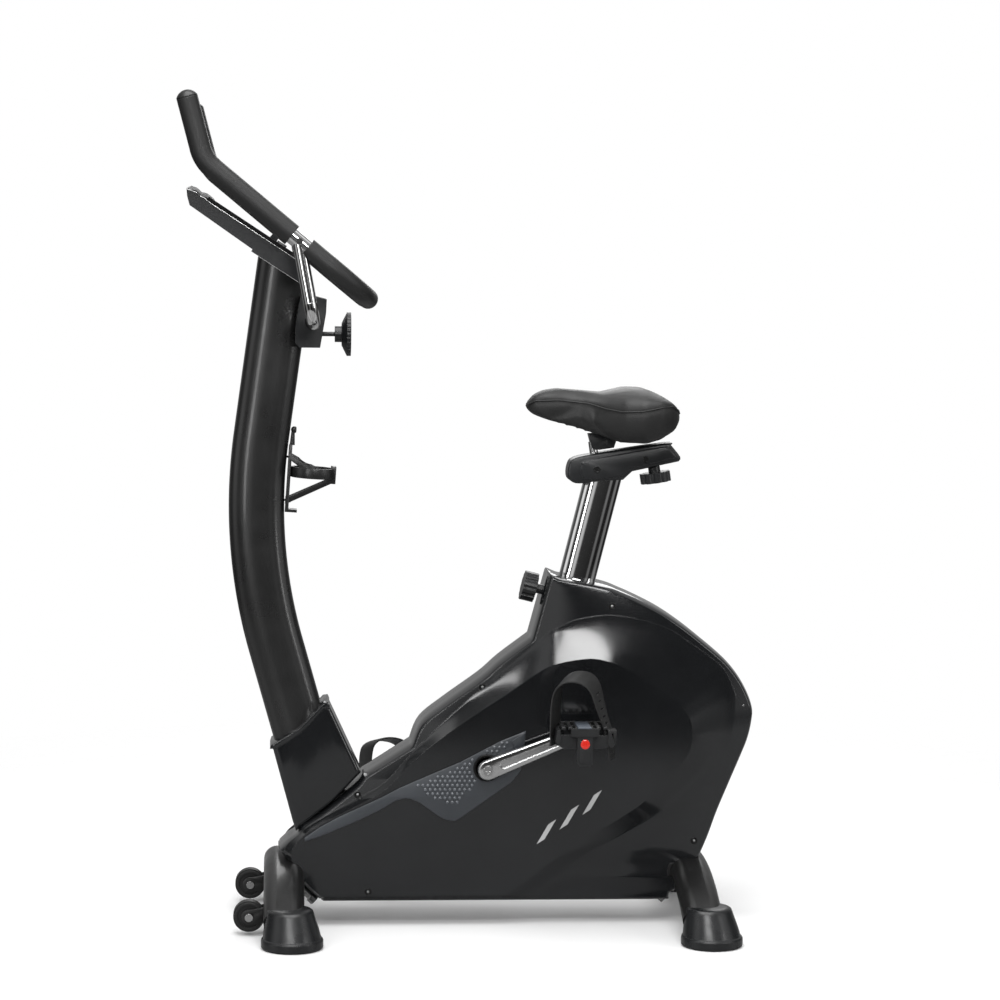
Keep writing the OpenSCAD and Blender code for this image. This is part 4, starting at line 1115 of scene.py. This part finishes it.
softbox("top", (-0.2, -0.7, 3.4), (0, 0, 0.5), 2.4, 75)
softbox("front_left", (-2.0, -3.3, 1.5), (0, 0, 0.7), 0.5, 28, 2.4)
softbox("upper", (-0.7, -3.3, 3.6), (-0.1, 0, 0.9), 1.8, 45, 0.6)
softbox("shoulder", (0.46, -3.32, 1.78), (0.12, -0.07, 0.53), 1.2, 24, 0.55)
softbox("right", (2.9, -2.1, 1.6), (0, 0, 0.6), 0.5, 20, 2.4)
softbox("back", (0.4, 2.8, 2.2), (0, 0, 0.6), 1.8, 30)

world = bpy.data.worlds.new("studio")
bpy.context.scene.world = world
world.use_nodes = True
sky = world.node_tree
sky.nodes.clear()


def worked(operation, a, b):
    """A math node over two values or sockets."""
    node = sky.nodes.new("ShaderNodeMath")
    node.operation = operation
    for socket, value in zip(node.inputs, (a, b)):
        if isinstance(value, (int, float)):
            socket.default_value = value
        else:
            sky.links.new(value, socket)
    return node.outputs["Value"]


# A dim room with upright light panels around it and a light ceiling: the ramp's middle is the rider's left
axes = sky.nodes.new("ShaderNodeSeparateXYZ")
sky.links.new(sky.nodes.new("ShaderNodeTexCoord").outputs["Generated"], axes.inputs["Vector"])
around = worked("ARCTAN2", axes.outputs["X"], worked("MULTIPLY", axes.outputs["Y"], -1.0))
panels = sky.nodes.new("ShaderNodeValToRGB")
PANELS = ((0.0, 0.3), (0.1, 0.35), (0.17, 0.08), (0.24, 0.08), (0.28, 0.9), (0.32, 0.9), (0.35, 0.05),
          (0.43, 0.05), (0.445, 0.6), (0.465, 0.6), (0.48, 0.04), (0.57, 0.04), (0.585, 0.4), (0.6, 0.4),
          (0.615, 0.04), (0.66, 0.05), (0.69, 0.8), (0.73, 0.8), (0.76, 0.06), (0.85, 0.1), (0.91, 0.35),
          (1.0, 0.3))
while len(panels.color_ramp.elements) < len(PANELS):
    panels.color_ramp.elements.new(0.5)
for element, (place, value) in zip(panels.color_ramp.elements, PANELS):
    element.position = place
    element.color = (value, value, value, 1)
sky.links.new(ramp(sky, around, 0.0, 1.0, -math.pi, math.pi), panels.inputs["Fac"])
ceiling = ramp(sky, axes.outputs["Z"], 0.0, 0.45, 0.45, 0.9)
low = ramp(sky, axes.outputs["Z"], 0.25, 1.0, -0.25, -0.02)
room = worked("ADD", worked("MULTIPLY", panels.outputs["Color"], low), ceiling)
rays = sky.nodes.new("ShaderNodeLightPath")
shine = sky.nodes.new("ShaderNodeBackground")
sky.links.new(worked("MAXIMUM", room, rays.outputs["Is Camera Ray"]), shine.inputs["Strength"])
shine.inputs["Color"].default_value = (1, 1, 1, 1)
sky.links.new(shine.outputs["Background"], sky.nodes.new("ShaderNodeOutputWorld").inputs["Surface"])

# A pale round floor that fades out into the white around it
FLOOR_R = 2.4
material, tree = new_tree("floor_paint")
link = tree.links.new
spot = tree.nodes.new("ShaderNodeTexCoord").outputs["Object"]
away = tree.nodes.new("ShaderNodeVectorMath")
away.operation = "LENGTH"
link(spot, away.inputs[0])
paint = put(tree, "ShaderNodeBsdfPrincipled", Roughness=0.6)
link(tint(tree, grain(tree, spot, 0.8), grey(0.9), grey(0.93)), paint.inputs["Base Color"])
clear = tree.nodes.new("ShaderNodeBsdfTransparent")
fade = tree.nodes.new("ShaderNodeMixShader")
paler = tree.nodes.new("ShaderNodeMath")
paler.operation = "MAXIMUM"
link(ramp(tree, away.outputs["Value"], 0.0, 1.0, 0.7, 2.2), paler.inputs[0])
link(ramp(tree, tree.nodes.new("ShaderNodeLightPath").outputs["Is Glossy Ray"], 0.0, 0.75, 0.0, 1.0),
     paler.inputs[1])
link(paler.outputs["Value"], fade.inputs["Fac"])
link(paint.outputs["BSDF"], fade.inputs[1])
link(clear.outputs["BSDF"], fade.inputs[2])
link(fade.outputs["Shader"], tree.nodes.new("ShaderNodeOutputMaterial").inputs["Surface"])
floor_mesh = bpy.data.meshes.new("floor")
floor_mesh.from_pydata([(FLOOR_R * math.cos(a), FLOOR_R * math.sin(a), -0.0005) for a in turn(96)], [],
                       [tuple(range(96))])
floor_mesh.materials.append(material)
floor = added("floor", floor_mesh)
bpy.context.scene.view_settings.view_transform = "Standard"
